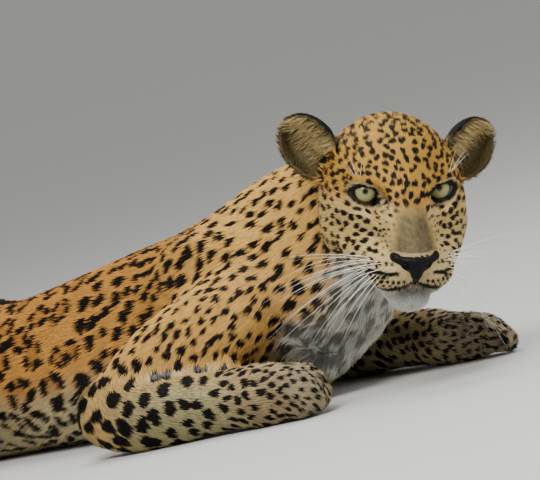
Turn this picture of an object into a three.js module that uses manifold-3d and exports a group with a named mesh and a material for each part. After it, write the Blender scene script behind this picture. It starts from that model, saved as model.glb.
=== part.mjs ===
// A leopard lying on its chest, its head up and turned to its right, as a still, life-size museum model.
// Millimetres. +X is the way the chest faces, +Y is the animal's left, +Z is up, and the floor is z = 0.
import * as THREE from "three";
import { mergeVertices } from "three/addons/utils/BufferGeometryUtils.js";
import Module from "manifold-3d";

const wasm = await Module();
wasm.setup();

// Driving sizes
const gap = 0.3; // between parts that meet
const press = 4; // how far soft undersides would sink below the floor, which leaves flats
const withersTop = 226; // floor to the top of the shoulders as it lies
const loinTop = 178; // floor to the lowest stretch of the back
const ribHalf = 104; // half the width of the ribs
const eyeApart = 41.8; // from the midline to an eye's centre
const eyeRadius = 16;
const tailThick = 24; // half the tail's thickness at its root
const headAt = [338, -62, 220]; // midway between the eyes
const headTurn = { yaw: -40, pitch: 14, roll: 13 }; // degrees: to its right, nose down, crown to its left

const vec = (x, y, z) => new THREE.Vector3(x, y, z);
const radians = THREE.MathUtils.degToRad;

// Distance fields: each takes x, y, z and gives a distance, negative inside

// Two distances joined with the corner between them rounded over soft mm
function join(a, b, soft) {
  const h = Math.max(soft - Math.abs(a - b), 0) / soft;
  return Math.min(a, b) - (h * h * soft) / 4;
}

const carve = (a, b, soft) => -join(-a, b, soft);

// Distance to an oval of radii rx, ry, rz, close enough near its surface
function oval(x, y, z, rx, ry, rz) {
  const near = Math.hypot(x / rx, y / ry, z / rz);
  const slope = Math.hypot(x / (rx * rx), y / (ry * ry), z / (rz * rz));
  return slope < 1e-6 ? -Math.min(rx, ry, rz) : (near * (near - 1)) / slope;
}

// A ball stretched to three radii, turned about its own centre by degrees x, y, z
function ball([cx, cy, cz], [rx, ry, rz], turn = [0, 0, 0]) {
  const euler = new THREE.Euler(...turn.map(radians));
  const m = new THREE.Matrix4().makeRotationFromEuler(euler).invert().elements;
  return (x, y, z) => {
    const [dx, dy, dz] = [x - cx, y - cy, z - cz];
    return oval(
      m[0] * dx + m[4] * dy + m[8] * dz,
      m[1] * dx + m[5] * dy + m[9] * dz,
      m[2] * dx + m[6] * dy + m[10] * dz,
      rx, ry, rz,
    );
  };
}

// A run of oval sections along a smooth line, one row each: x, y, z, half width, half height.
// The height of a section lies towards level.
function run(rows, steps = 4 * (rows.length - 1), level = vec(0, 0, 1)) {
  const curve = (pick) =>
    new THREE.CatmullRomCurve3(rows.map(pick), false, "catmullrom", 0.5);
  const line = curve((r) => vec(r[0], r[1], r[2]));
  const girth = curve((r) => vec(r[3], r[4], 0));
  const links = [];
  for (let i = 0; i < steps; i++) {
    const [a, b] = [line.getPoint(i / steps), line.getPoint((i + 1) / steps)];
    const [ga, gb] = [girth.getPoint(i / steps), girth.getPoint((i + 1) / steps)];
    const along = b.clone().sub(a);
    const length = along.length();
    along.divideScalar(length);
    const side = level.clone().cross(along).normalize();
    const high = along.clone().cross(side);
    links.push({ a, length, along, side, high, ga, gb });
  }
  return (x, y, z) => {
    let least = Infinity;
    for (const { a, length, along, side, high, ga, gb } of links) {
      const [dx, dy, dz] = [x - a.x, y - a.y, z - a.z];
      const far = dx * along.x + dy * along.y + dz * along.z;
      const t = Math.min(Math.max(far / length, 0), 1);
      const [w, h] = [ga.x + (gb.x - ga.x) * t, ga.y + (gb.y - ga.y) * t];
      const d = oval(
        dx * side.x + dy * side.y + dz * side.z,
        dx * high.x + dy * high.y + dz * high.z,
        far - t * length,
        w, h, Math.min(w, h),
      );
      if (d < least) least = d;
    }
    return least;
  };
}

const both = (soft, ...fields) => (x, y, z) =>
  fields.reduce((d, f) => join(d, f(x, y, z), soft), Infinity);

// Solids from fields

const corners = [0, 1, 2, 3, 4, 5, 6, 7].map((c) => [c & 1, (c >> 1) & 1, c >> 2]);
const edges = [1, 2, 4].flatMap((bit) => [0, 1, 2, 3, 4, 5, 6, 7].filter((a) => !(a & bit)).map((a) => [a, a | bit]));

// The surface where a field is zero, between two corners, with one vertex in each cell that it crosses
function skin(field, low, high, cell, shift = 0) {
  const from = low.map((v, k) => v - cell[k] * (2 + shift));
  const n = [0, 1, 2].map((k) => Math.ceil((high[k] - low[k]) / cell[k]) + 5);
  const index = (i, j, k) => i + n[0] * (j + n[1] * k);
  const value = new Float64Array(n[0] * n[1] * n[2]);
  for (let k = 0; k < n[2]; k++)
    for (let j = 0; j < n[1]; j++)
      for (let i = 0; i < n[0]; i++) {
        const edge = i * j * k === 0 || i === n[0] - 1 || j === n[1] - 1 || k === n[2] - 1;
        const d = edge
          ? cell[0]
          : field(from[0] + i * cell[0], from[1] + j * cell[1], from[2] + k * cell[2]);
        value[index(i, j, k)] = Math.abs(d) < 1e-3 ? 1e-3 : d;
      }
  unpinch(value, n, index);
  const slot = new Int32Array(value.length).fill(-1);
  const places = [];
  for (let k = 0; k < n[2] - 1; k++)
    for (let j = 0; j < n[1] - 1; j++)
      for (let i = 0; i < n[0] - 1; i++) {
        const v = corners.map(([a, b, c]) => value[index(i + a, j + b, k + c)]);
        let [count, sx, sy, sz] = [0, 0, 0, 0];
        for (const [a, b] of edges) {
          if (v[a] < 0 === v[b] < 0) continue;
          const t = v[a] / (v[a] - v[b]);
          const [p, q] = [corners[a], corners[b]];
          sx += p[0] + (q[0] - p[0]) * t;
          sy += p[1] + (q[1] - p[1]) * t;
          sz += p[2] + (q[2] - p[2]) * t;
          count++;
        }
        if (!count) continue;
        slot[index(i, j, k)] = places.length / 3;
        places.push(
          from[0] + (i + sx / count) * cell[0],
          from[1] + (j + sy / count) * cell[1],
          from[2] + (k + sz / count) * cell[2],
        );
      }
  settle(field, places, cell, from, n);
  const faces = [];
  const quad = (a, b, c, d, turn) => {
    const [p, q, r, s] = turn ? [a, d, c, b] : [a, b, c, d];
    const span = (u, w) => Math.hypot(...[0, 1, 2].map((m) => places[3 * u + m] - places[3 * w + m]));
    if (span(p, r) < span(q, s)) faces.push(p, q, r, p, r, s);
    else faces.push(q, r, s, q, s, p);
  };
  for (let k = 0; k < n[2] - 1; k++)
    for (let j = 0; j < n[1] - 1; j++)
      for (let i = 0; i < n[0] - 1; i++) {
        const here = value[index(i, j, k)] < 0;
        const cellAt = (a, b, c) => slot[index(i - a, j - b, k - c)];
        if (here !== value[index(i + 1, j, k)] < 0)
          quad(cellAt(0, 1, 1), cellAt(0, 0, 1), cellAt(0, 0, 0), cellAt(0, 1, 0), !here);
        if (here !== value[index(i, j + 1, k)] < 0)
          quad(cellAt(1, 0, 1), cellAt(1, 0, 0), cellAt(0, 0, 0), cellAt(0, 0, 1), !here);
        if (here !== value[index(i, j, k + 1)] < 0)
          quad(cellAt(1, 1, 0), cellAt(0, 1, 0), cellAt(0, 0, 0), cellAt(1, 0, 0), !here);
      }
  return new wasm.Manifold(
    new wasm.Mesh({
      numProp: 3,
      vertProperties: new Float32Array(places),
      triVerts: new Uint32Array(faces),
    }),
  );
}

// Two sheets that touch in one cell would share an edge or a corner, so the nearest corner between them is filled
function unpinch(value, n, index) {
  const whole = [...Array(256).keys()].map((mask) => oneGroup(mask) && oneGroup(255 - mask));
  for (let turn = 0; turn < 12; turn++) {
    let filled = 0;
    for (let k = 0; k < n[2] - 1; k++)
      for (let j = 0; j < n[1] - 1; j++)
        for (let i = 0; i < n[0] - 1; i++) {
          const at = corners.map(([a, b, c]) => index(i + a, j + b, k + c));
          const mask = at.reduce((m, v, c) => (value[v] < 0 ? m | (1 << c) : m), 0);
          if (whole[mask]) continue;
          const open = [0, 1, 2, 3, 4, 5, 6, 7].filter((c) => {
            const spot = [i, j, k].map((v, m) => v + corners[c][m]);
            return value[at[c]] >= 0 && spot.every((v, m) => v > 0 && v < n[m] - 1);
          });
          open.sort((a, b) => whole[mask | (1 << b)] - whole[mask | (1 << a)] || value[at[a]] - value[at[b]]);
          if (!open.length) continue;
          value[at[open[0]]] *= -1;
          filled++;
        }
    if (!filled) return;
  }
}

// Whether the corners of a cell that a mask names hang together along the cell's edges
function oneGroup(mask) {
  let group = mask & -mask;
  for (let turn = 0; turn < 4; turn++)
    for (const [a, b] of edges)
      if (mask & (1 << a) && mask & (1 << b) && group & ((1 << a) | (1 << b))) group |= (1 << a) | (1 << b);
  return group === mask;
}

// Moves each vertex onto the field's zero along its slope, except by the edge of the grid
function settle(field, places, cell, from, n) {
  const e = 0.5;
  for (let turn = 0; turn < 2; turn++)
    for (let v = 0; v < places.length; v += 3) {
      const p = [places[v], places[v + 1], places[v + 2]];
      const inner = p.every(
        (c, m) => c > from[m] + 1.5 * cell[m] && c < from[m] + (n[m] - 2.5) * cell[m],
      );
      if (!inner) continue;
      const d = field(...p);
      const slope = [0, 1, 2].map((m) => {
        const q = [...p];
        q[m] += e;
        return (field(...q) - d) / e;
      });
      const size = slope[0] ** 2 + slope[1] ** 2 + slope[2] ** 2;
      const most = Math.min(...cell) / 3;
      const step = Math.min(Math.max(d / Math.max(size, 0.1), -most), most);
      for (let m = 0; m < 3; m++) places[v + m] -= step * slope[m];
    }
}

// A grid that touches a form at one corner only gives no closed surface, so the grid is shifted and tried again
function solid(field, low, high, cell) {
  const sizes = Array.isArray(cell) ? cell : [cell, cell, cell];
  for (const shift of [0, 0.31, 0.57, 0.13, 0.79, 0.43, 0.91]) {
    try {
      return largest(skin(field, low, high, sizes, shift));
    } catch (error) {
      if (shift === 0.91) throw error;
    }
  }
}

const largest = (made) =>
  made.decompose().sort((a, b) => b.volume() - a.volume())[0];

// A closed three.js geometry as a solid
function fromGeometry(geometry) {
  const bare = new THREE.BufferGeometry().setAttribute("position", geometry.getAttribute("position"));
  if (geometry.index) bare.setIndex(geometry.index);
  const merged = mergeVertices(bare, 1e-3);
  return new wasm.Manifold(
    new wasm.Mesh({
      numProp: 3,
      vertProperties: merged.attributes.position.array,
      triVerts: new Uint32Array(merged.index.array),
    }),
  );
}

// A plane through a point, as the normal and offset that a cut takes; it keeps the side that the normal points to
class Cut {
  constructor(point, normal) {
    this.normal = normal.clone().normalize();
    this.offset = this.normal.dot(point);
  }
  keep(made, side) {
    const n = this.normal;
    return made.trimByPlane([side * n.x, side * n.y, side * n.z], side * this.offset + gap / 2);
  }
}

// The plane that halves a bent joint, its normal towards the first bone
function jointCut(joint, first, second) {
  const a = first.clone().sub(joint).normalize();
  const b = second.clone().sub(joint).normalize();
  return new Cut(joint, a.sub(b));
}

// The same rows as a closed tube of rings, for a long plain length
function tube(rows, steps, sides, level = vec(0, 0, 1)) {
  const line = new THREE.CatmullRomCurve3(rows.map((r) => vec(r[0], r[1], r[2])), false, "catmullrom", 0.5);
  const girth = new THREE.CatmullRomCurve3(rows.map((r) => vec(r[3], r[4], 0)), false, "catmullrom", 0.5);
  const places = [];
  for (let i = 0; i <= steps; i++) {
    const at = line.getPoint(i / steps);
    const along = line.getTangent(i / steps);
    const side = level.clone().cross(along).normalize();
    const high = along.clone().cross(side);
    const size = girth.getPoint(i / steps);
    for (let k = 0; k < sides; k++) {
      const a = (2 * Math.PI * k) / sides;
      const p = at.clone().addScaledVector(side, size.x * Math.cos(a)).addScaledVector(high, size.y * Math.sin(a));
      places.push(p.x, p.y, p.z);
    }
  }
  const index = [];
  for (let i = 0; i < steps; i++)
    for (let k = 0; k < sides; k++) {
      const [a, b] = [i * sides + k, i * sides + ((k + 1) % sides)];
      index.push(a, b, b + sides, a, b + sides, a + sides);
    }
  const last = steps * sides;
  for (let k = 1; k < sides - 1; k++) index.push(0, k + 1, k, last, last + k, last + k + 1);
  const geometry = new THREE.BufferGeometry();
  geometry.setAttribute("position", new THREE.BufferAttribute(Float32Array.from(places), 3));
  geometry.setIndex(index);
  return fromGeometry(geometry);
}

// The trunk, with its ribs, loin and hips
const under = (top) => (top - press) / 2; // centre height of a section that rests on the floor
const tall = (top) => (top + press) / 2;
const trunk = run([
  [126, 0, 122, 66, 76],
  [70, 0, 114, 82, 104],
  [0, 0, under(withersTop), 96, tall(withersTop)],
  [-90, 2, under(217), ribHalf + 2, tall(217)],
  [-180, 4, under(204), ribHalf + 6, tall(204)],
  [-270, 6, under(191), ribHalf + 4, tall(191)],
  [-350, 8, under(182), ribHalf - 2, tall(182)],
  [-430, 6, under(loinTop), ribHalf - 6, tall(loinTop)],
  [-500, 2, under(184), ribHalf - 2, tall(184)],
  [-570, -6, under(188), 99, tall(188)],
  [-630, -12, 94, 84, 76],
  [-668, -16, 92, 58, 54],
], 33);
const shoulderBlades = both(
  20,
  ball([26, 58, 148], [84, 32, 72], [-16, -24, 0]),
  ball([26, -58, 148], [84, 32, 72], [16, -24, 0]),
);

// Where the head sits
const headMatrix = new THREE.Matrix4()
  .makeTranslation(...headAt)
  .multiply(new THREE.Matrix4().makeRotationZ(radians(headTurn.yaw)))
  .multiply(new THREE.Matrix4().makeRotationY(radians(headTurn.pitch)))
  .multiply(new THREE.Matrix4().makeRotationX(radians(-headTurn.roll)));
const headInverse = headMatrix.clone().invert();
const inHead = (x, y, z) => vec(x, y, z).applyMatrix4(headMatrix);

// The neck, from the back of the skull down into the shoulders
const nape = inHead(-100, 0, -26);
const neck = run([
  [nape.x + 22, nape.y - 18, nape.z - 2, 66, 66],
  [nape.x - 18, nape.y + 12, nape.z - 6, 76, 80],
  [168, 14, 178, 84, 102],
  [100, 8, 154, 90, 110],
  [30, 0, 130, 88, 98],
], 16);
const body = (x, y, z) => join(join(trunk(x, y, z), shoulderBlades(x, y, z), 44), neck(x, y, z), 40);

// The tail leaves the rump, meets the floor and curls round to the left
const tailRows = [
  [-640, -14, 100, tailThick + 16, tailThick + 18],
  [-700, -16, 72, tailThick + 6, tailThick + 8],
  [-770, -14, 36, tailThick, tailThick],
  [-850, -2, 19, tailThick - 2, tailThick - 2],
  [-940, 24, 18, tailThick - 3, tailThick - 3],
  [-1030, 74, 17, tailThick - 3, tailThick - 3],
  [-1105, 145, 16, tailThick - 4, tailThick - 4],
  [-1150, 232, 16, tailThick - 5, tailThick - 5],
  [-1150, 322, 14, tailThick - 6, tailThick - 6],
  [-1120, 384, 13, tailThick - 8, tailThick - 8],
  [-1108, 398, 12, tailThick - 14, tailThick - 14],
];
const tail = run(tailRows, 30);
const rump = (x, y, z) => join(body(x, y, z), tail(x, y, z), 30);

// Legs. Each limb is a set of named joints, and its forms hang on them.
const foreleg = {
  right: {
    side: -1,
    shoulder: vec(88, -94, 126),
    elbow: vec(-54, -182, 48),
    wrist: vec(132, -152, 35),
    knuckle: vec(184, -140, 32),
    toe: vec(203, -135, 16),
    thick: 34,
    spread: 0.34,
  },
  left: {
    side: 1,
    shoulder: vec(84, 94, 126),
    elbow: vec(-46, 166, 48),
    wrist: vec(160, 122, 34),
    knuckle: vec(242, 97, 27),
    toe: vec(290, 85, 14),
    thick: 31,
    spread: 0.46,
  },
};
const hindleg = {
  right: {
    side: -1,
    hip: vec(-556, -58, 108),
    knee: vec(-404, -142, 90),
    hock: vec(-602, -164, 26),
    knuckle: vec(-452, -164, 23),
    toe: vec(-402, -162, 13),
    thick: 27,
    spread: 0.46,
  },
  left: {
    side: 1,
    hip: vec(-556, 50, 108),
    knee: vec(-404, 134, 90),
    hock: vec(-602, 158, 26),
    knuckle: vec(-452, 158, 23),
    toe: vec(-402, 156, 13),
    thick: 27,
    spread: 0.46,
  },
};

// A row of a run at a share of the way from one joint to another, moved by dx, dy, dz
const row = (a, b, share, w, h, [dx, dy, dz] = [0, 0, 0]) => {
  const p = a.clone().lerp(b, share);
  return [p.x + dx, p.y + dy, p.z + dz, w, h];
};

function upperArm({ shoulder, elbow }) {
  return run([
    row(shoulder, elbow, -0.1, 36, 46),
    row(shoulder, elbow, 0.16, 48, 58),
    row(shoulder, elbow, 0.55, 44, 62),
    row(shoulder, elbow, 0.88, 36, 52),
    row(shoulder, elbow, 1.06, 30, 38),
  ]);
}

function forearm({ elbow, wrist }) {
  return run([
    row(elbow, wrist, -0.12, 32, 40),
    row(elbow, wrist, 0.1, 42, 50),
    row(elbow, wrist, 0.38, 40, 47),
    row(elbow, wrist, 0.72, 34, 38),
    row(elbow, wrist, 1.0, 33, 35),
    row(elbow, wrist, 1.08, 31, 32),
  ]);
}

// A paw: the hand's back, then four toes that fan out, each with its knuckle and tip
function paw({ knuckle, toe, spread, thick }, from, wide) {
  const way = toe.clone().sub(knuckle).setZ(0).normalize();
  const across = vec(-way.y, way.x, 0);
  const palm = run([
    [from.x, from.y, from.z, wide * 0.76, thick],
    row(from, knuckle, 0.55, wide * 0.84, thick * 0.98),
    row(from, knuckle, 1, wide * 0.9, thick * 0.92),
  ]);
  const toes = [-1.5, -0.5, 0.5, 1.5].map((step) => {
    const back = Math.abs(step) > 1 ? -wide * 0.28 : 0;
    const shift = across.clone().multiplyScalar(step * wide * spread).addScaledVector(way, back);
    const [root, tip] = [knuckle.clone().add(shift), toe.clone().add(shift)];
    return run([
      row(root, tip, -0.3, wide * 0.27, thick * 0.72),
      row(root, tip, 0.4, wide * 0.31, thick * 0.72, [0, 0, thick * 0.14]),
      row(root, tip, 1, wide * 0.27, thick * 0.5),
    ], 6);
  });
  return (x, y, z) => join(palm(x, y, z), both(4, ...toes)(x, y, z), 8);
}

function thigh({ hip, knee, side }) {
  return run([
    row(hip, knee, -0.24, 64, 76, [0, -6 * side, -4]),
    row(hip, knee, 0.15, 70, 88),
    row(hip, knee, 0.55, 58, 82),
    row(hip, knee, 0.9, 42, 58),
    row(hip, knee, 1.04, 32, 44),
  ]);
}

function shin({ knee, hock }) {
  return run([
    row(knee, hock, -0.02, 34, 46, [0, 0, -14]),
    row(knee, hock, 0.3, 38, 44, [0, 0, -12]),
    row(knee, hock, 0.7, 28, 32, [0, 0, -4]),
    row(knee, hock, 1.0, 22, 27),
    row(knee, hock, 1.05, 20, 24),
  ]);
}

const foot = (leg) => run([
  row(leg.hock, leg.knuckle, -0.12, 21, 27),
  row(leg.hock, leg.knuckle, 0.4, 25, 26),
  row(leg.hock, leg.knuckle, 0.8, 30, 26),
]);

const limbs = {};
for (const side of ["right", "left"]) {
  const [fore, hind] = [foreleg[side], hindleg[side]];
  const arm = upperArm(fore);
  const lower = forearm(fore);
  const hand = paw(fore, fore.wrist.clone().lerp(fore.knuckle, 0.12), 38);
  limbs[`fore_${side}`] = (x, y, z) =>
    join(join(body(x, y, z), arm(x, y, z), 26), join(lower(x, y, z), hand(x, y, z), 12), 10);
  const [upper, mid, low] = [thigh(hind), shin(hind), foot(hind)];
  const toes = paw(hind, hind.hock.clone().lerp(hind.knuckle, 0.72), 37);
  limbs[`hind_${side}`] = (x, y, z) =>
    join(
      join(rump(x, y, z), upper(x, y, z), 30),
      join(mid(x, y, z), join(low(x, y, z), toes(x, y, z), 12), 10),
      10,
    );
}

// The head, in its own frame: x forward, y left, z up, from midway between the eyes. Left and right match.
const skullRun = run([
  [-128, 0, -12, 48, 48],
  [-96, 0, -2, 64, 65],
  [-56, 0, 2, 72, 71],
  [-24, 0, -7, 66, 64],
  [4, 0, -28, 45, 49],
  [30, 0, -48, 31, 40],
  [50, 0, -64, 26, 32],
], 21);
const bridge = run([
  [-4, 0, 0, 21, 26],
  [22, 0, -22, 20, 20],
  [44, 0, -42, 23, 18],
  [58, 0, -58, 23, 16],
], 9);
const jawRun = run([
  [-70, 0, -62, 54, 42],
  [-30, 0, -80, 46, 36],
  [6, 0, -97, 32, 27],
  [32, 0, -107, 25, 20],
  [40, 0, -108, 21, 17],
], 12);
const cheek = ball([-46, 44, -34], [52, 38, 50], [0, 8, 0]);
const cheekBone = ball([-14, 48, -24], [34, 20, 19], [0, 20, -18]);
const brow = ball([-1, 36, 19], [17, 22, 10], [0, 12, -14]);
const whiskerPad = ball([42, 24, -79], [31, 24, 21], [0, 14, -22]);
const socket = ball([17, eyeApart - 1, -3], [15, 20, 13], [0, 0, -22]);
const tearPit = ball([23, 28, -16], [11, 7, 8], [0, 34, 22]);
// The upper lip's flesh, from the cheek to the whisker pad
const jowl = run([
  [-34, 50, -52, 30, 30],
  [0, 42, -64, 26, 27],
  [28, 28, -74, 22, 24],
  [44, 21, -79, 20, 20],
], 9);

function headField(x, y, z) {
  const s = Math.abs(y);
  let d = join(skullRun(x, s, z), jawRun(x, s, z), 14);
  d = join(d, cheek(x, s, z), 24);
  d = join(d, cheekBone(x, s, z), 16);
  d = join(d, bridge(x, s, z), 8);
  d = join(d, brow(x, s, z), 12);
  d = carve(d, socket(x, s, z), 8);
  d = carve(d, tearPit(x, s, z), 9);
  d = join(d, jowl(x, s, z), 16);
  return join(d, whiskerPad(x, s, z), 12);
}
// The field of head and body together, by a place in the head's own frame, so that the grid lies square to the face
const headLocal = (x, y, z) => {
  const p = vec(x, y, z).applyMatrix4(headMatrix);
  return join(body(p.x, p.y, p.z), headField(x, y, z), 22);
};
const headAndNeck = (x, y, z) => {
  const p = vec(x, y, z).applyMatrix4(headInverse);
  return join(body(x, y, z), headField(p.x, p.y, p.z), 22);
};

// Cuts
const floor = new Cut(vec(0, 0, -gap / 2), vec(0, 0, 1));
const headBack = vec(-92, 0, 0);
const headWay = vec(92, 0, -22);
const headCut = new Cut(inHead(...headBack), headWay.clone().transformDirection(headMatrix));
const neckCut = new Cut(vec(66, 0, 150), vec(0.785, 0, 0.62));
const ribCut = new Cut(vec(-205, 0, 0), vec(1, 0, 0));
const loinCut = new Cut(vec(-445, 0, 0), vec(1, 0, 0));
const tailCut = new Cut(vec(-682, -16, 84), vec(-0.86, 0, -0.5));
const tailCuts = [
  new Cut(vec(-940, 24, 18), vec(-0.92, 0.38, 0)),
  new Cut(vec(-1128, 190, 18), vec(-0.4, 0.92, 0)),
];

// A box that reaches round a limb, leaning in towards the top; grown is added on every side
function reach([x0, y0, z0], [x1, y1, z1], lean, grown) {
  const size = [x1 - x0, Math.abs(y1 - y0), z1 - z0].map((v) => v + 2 * grown);
  const box = new THREE.BoxGeometry(...size);
  const at = new THREE.Matrix4()
    .makeTranslation((x0 + x1) / 2, (y0 + y1) / 2, (z0 + z1) / 2)
    .multiply(new THREE.Matrix4().makeRotationX(radians(lean)));
  return fromGeometry(box.applyMatrix4(at));
}
const limbReach = {
  fore_right: (grown) => reach([-150, -340, -40], [420, -90, 200], -10, grown),
  fore_left: (grown) => reach([-150, 90, -40], [420, 340, 200], 10, grown),
  hind_right: (grown) => reach([-700, -350, -60], [-300, -82, 208], -12, grown),
  hind_left: (grown) => reach([-700, 74, -60], [-300, 350, 208], 12, grown),
};

// Nodes
const root = new THREE.Group();
const fur = {
  gold: { color: 0xc48a4a, roughness: 0.9 },
  pale: { color: 0xc9b184, roughness: 0.9 },
};

function place(name, made, { color, roughness }, group = root) {
  const mesh = made.getMesh();
  const geometry = new THREE.BufferGeometry();
  geometry.setAttribute("position", new THREE.BufferAttribute(Float32Array.from(mesh.vertProperties), 3));
  geometry.setIndex(new THREE.BufferAttribute(Uint32Array.from(mesh.triVerts), 1));
  geometry.computeBoundingBox();
  const centre = geometry.boundingBox.getCenter(vec(0, 0, 0));
  geometry.translate(-centre.x, -centre.y, -centre.z);
  geometry.computeVertexNormals();
  const part = new THREE.Mesh(geometry, new THREE.MeshStandardMaterial({ color, roughness, metalness: 0 }));
  part.name = name;
  part.position.copy(centre);
  group.add(part);
}

// Keeps one side of each plane: 1 for the side that its normal points to, -1 for the other
const trimmed = (made, keeps) => largest(keeps.reduce((m, [cut, side]) => cut.keep(m, side), made));
const without = (made, names) => names.reduce((m, name) => m.subtract(limbReach[name](gap)), made);

// The room that the head takes up, which the neighbours keep clear of
const headLow = [-140, -122, -154];
const headHigh = [100, 122, 90];
const headCell = 12;
const headRoom = solid((x, y, z) => headLocal(x, y, z) - 2 * gap, headLow, headHigh, headCell);
const headTaken = new Cut(headBack.clone().addScaledVector(headWay.clone().normalize(), -gap), headWay)
  .keep(headRoom, 1)
  .transform(headMatrix.elements);

// Neck and trunk
const fores = ["fore_right", "fore_left"];
const hinds = ["hind_right", "hind_left"];
const foreField = (x, y, z) => Math.min(limbs.fore_right(x, y, z), limbs.fore_left(x, y, z));
const hindField = (x, y, z) => Math.min(limbs.hind_right(x, y, z), limbs.hind_left(x, y, z));
const neckBlock = without(solid(headAndNeck, [-20, -130, -20], [330, 150, 320], 26), fores);
place("neck", trimmed(neckBlock, [[headCut, -1], [neckCut, 1], [floor, 1]]), fur.gold);
const chestBlock = without(solid(foreField, [-230, -150, -20], [190, 150, 270], [32, 28, 28]), fores);
place("chest", trimmed(chestBlock, [[neckCut, -1], [ribCut, 1], [floor, 1]]), fur.gold);
const loinBlock = without(solid(hindField, [-470, -140, -20], [-180, 140, 230], [40, 28, 28]), hinds);
place("loin", trimmed(loinBlock, [[ribCut, -1], [loinCut, 1], [floor, 1]]), fur.gold);
const rumpBlock = without(solid(hindField, [-720, -140, -20], [-420, 140, 230], [30, 27, 27]), hinds);
place("rump", trimmed(rumpBlock, [[loinCut, -1], [tailCut, -1], [floor, 1]]), fur.gold);

// Tail, in three lengths
const tailStart = solid(rump, [-960, -60, -12], [-660, 60, 130], [34, 15, 15]);
place("tail_root", trimmed(tailStart, [[tailCut, 1], [tailCuts[0], -1], [floor, 1]]), fur.gold);
const tailTube = tube(tailRows, 22, 12);
place("tail_middle", trimmed(tailTube, [[tailCuts[0], 1], [tailCuts[1], -1], [floor, 1]]), fur.gold);
place("tail_tip", trimmed(tailTube, [[tailCuts[1], 1], [floor, 1]]), fur.pale);

// Forelegs and hind legs, each in three lengths
for (const side of ["right", "left"]) {
  const leg = foreleg[side];
  const field = limbs[`fore_${side}`];
  const elbowCut = jointCut(leg.elbow, leg.shoulder, leg.wrist);
  const wristCut = new Cut(leg.wrist, leg.wrist.clone().sub(leg.elbow));
  const [inner, outer] = [leg.side * 60, leg.side * 262].sort((a, b) => a - b);
  const within = (low, high, cell) => solid(field, low, high, cell).intersect(limbReach[`fore_${side}`](0));
  const arm = within([-170, inner, -10], [190, outer, 230], 23);
  place(`upper_arm_${side}`, trimmed(arm.subtract(headTaken), [[elbowCut, 1], [floor, 1]]), fur.gold);
  const lower = within([-140, inner, -10], [220, outer, 130], [21, 18, 18]);
  place(`forearm_${side}`, trimmed(lower, [[elbowCut, -1], [wristCut, -1], [floor, 1]]), fur.pale);
  const low = [leg.wrist.x - 30, leg.wrist.y - 80, -8];
  const high = [leg.toe.x + 40, leg.wrist.y + 70, 100];
  place(`forepaw_${side}`, trimmed(within(low, high, [12, 10, 10]), [[wristCut, 1], [floor, 1]]), fur.pale);
}
for (const side of ["right", "left"]) {
  const leg = hindleg[side];
  const field = limbs[`hind_${side}`];
  const kneeCut = new Cut(leg.knee.clone().lerp(leg.hock, 0.3).add(vec(0, 0, 24)), vec(0.34, 0, 1));
  const ankleCut = new Cut(leg.hock.clone().add(vec(0, 0, -6)), vec(-0.16, 0, 1));
  const [inner, outer] = [leg.side * 50, leg.side * 262].sort((a, b) => a - b);
  const within = (low, high, cell) => solid(field, low, high, cell).intersect(limbReach[`hind_${side}`](0));
  const upper = within([-720, inner, -10], [-320, outer, 230], 22);
  place(`thigh_${side}`, trimmed(upper, [[kneeCut, 1], [floor, 1]]), fur.gold);
  const mid = within([-720, inner, -10], [-320, outer, 160], [25, 20, 20]);
  place(`shin_${side}`, trimmed(mid, [[kneeCut, -1], [ankleCut, 1], [floor, 1]]), fur.pale);
  const low = within([-720, inner, -8], [-340, outer, 80], [19, 14, 14]);
  place(`hind_foot_${side}`, trimmed(low, [[kneeCut, -1], [ankleCut, -1], [floor, 1]]), fur.pale);
}

// Head: skull, jaw and lids in one, then eyes, nose and ears
const headGroup = new THREE.Group();
headGroup.applyMatrix4(headMatrix);
root.add(headGroup);

// A round bar along a curve
function bar(points, radius, steps, sides = 6) {
  const ring = new THREE.Shape();
  for (let i = 0; i < sides; i++) {
    const a = (i / sides) * 2 * Math.PI;
    ring[i ? "lineTo" : "moveTo"](radius * Math.cos(a), radius * Math.sin(a));
  }
  ring.closePath();
  const extrudePath = new THREE.CatmullRomCurve3(points);
  return fromGeometry(new THREE.ExtrudeGeometry(ring, { steps, extrudePath, bevelEnabled: false, curveSegments: 1 }));
}

const sphere = (radius, side) =>
  fromGeometry(new THREE.SphereGeometry(radius, 16, 11)).translate(0, side * eyeApart, 0);

// The two lids of an eye, from its inner corner by the nose to its outer corner
function lids(side) {
  const at = (x, out, z) => vec(x, side * (eyeApart + out), z);
  const [inner, outer] = [at(13, -17.5, -18.5), at(-3, 18.6, 2)];
  const upper = [inner, at(16.5, -12.5, -2), at(16, -6, 7.5), at(13.6, 2, 11), at(8, 11, 9.5), outer];
  const lower = [inner, at(15.6, -10, -14), at(14, -1, -12.5), at(11, 8, -8), outer];
  return bar(upper, 2.8, 9).add(bar(lower, 2.4, 8));
}

const noseField = both(
  4,
  ball([64, 0, -61], [15, 25, 8]),
  ball([72, 0, -71], [10, 14, 14]),
  ball([66, 18, -65], [13, 10, 11], [0, 0, -16]),
  ball([66, -18, -65], [13, 10, 11], [0, 0, 16]),
);
const noseSolid = (grown) => solid((x, y, z) => noseField(x, y, z) - grown, [36, -38, -96], [92, 38, -44], 6.8);
const nostril = (side) =>
  fromGeometry(
    new THREE.SphereGeometry(1, 10, 6)
      .scale(10, 3.4, 4.4)
      .rotateX(radians(side * 24))
      .rotateZ(radians(-side * 30)),
  ).translate(77, side * 14, -69);

// A place near the head, moved straight up or down onto its underside or lips
function onHead(p, way) {
  const at = vec(...p);
  for (let turn = 0; turn < 12; turn++) at.addScaledVector(way, -headField(at.x, at.y, at.z));
  return at;
}

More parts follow.
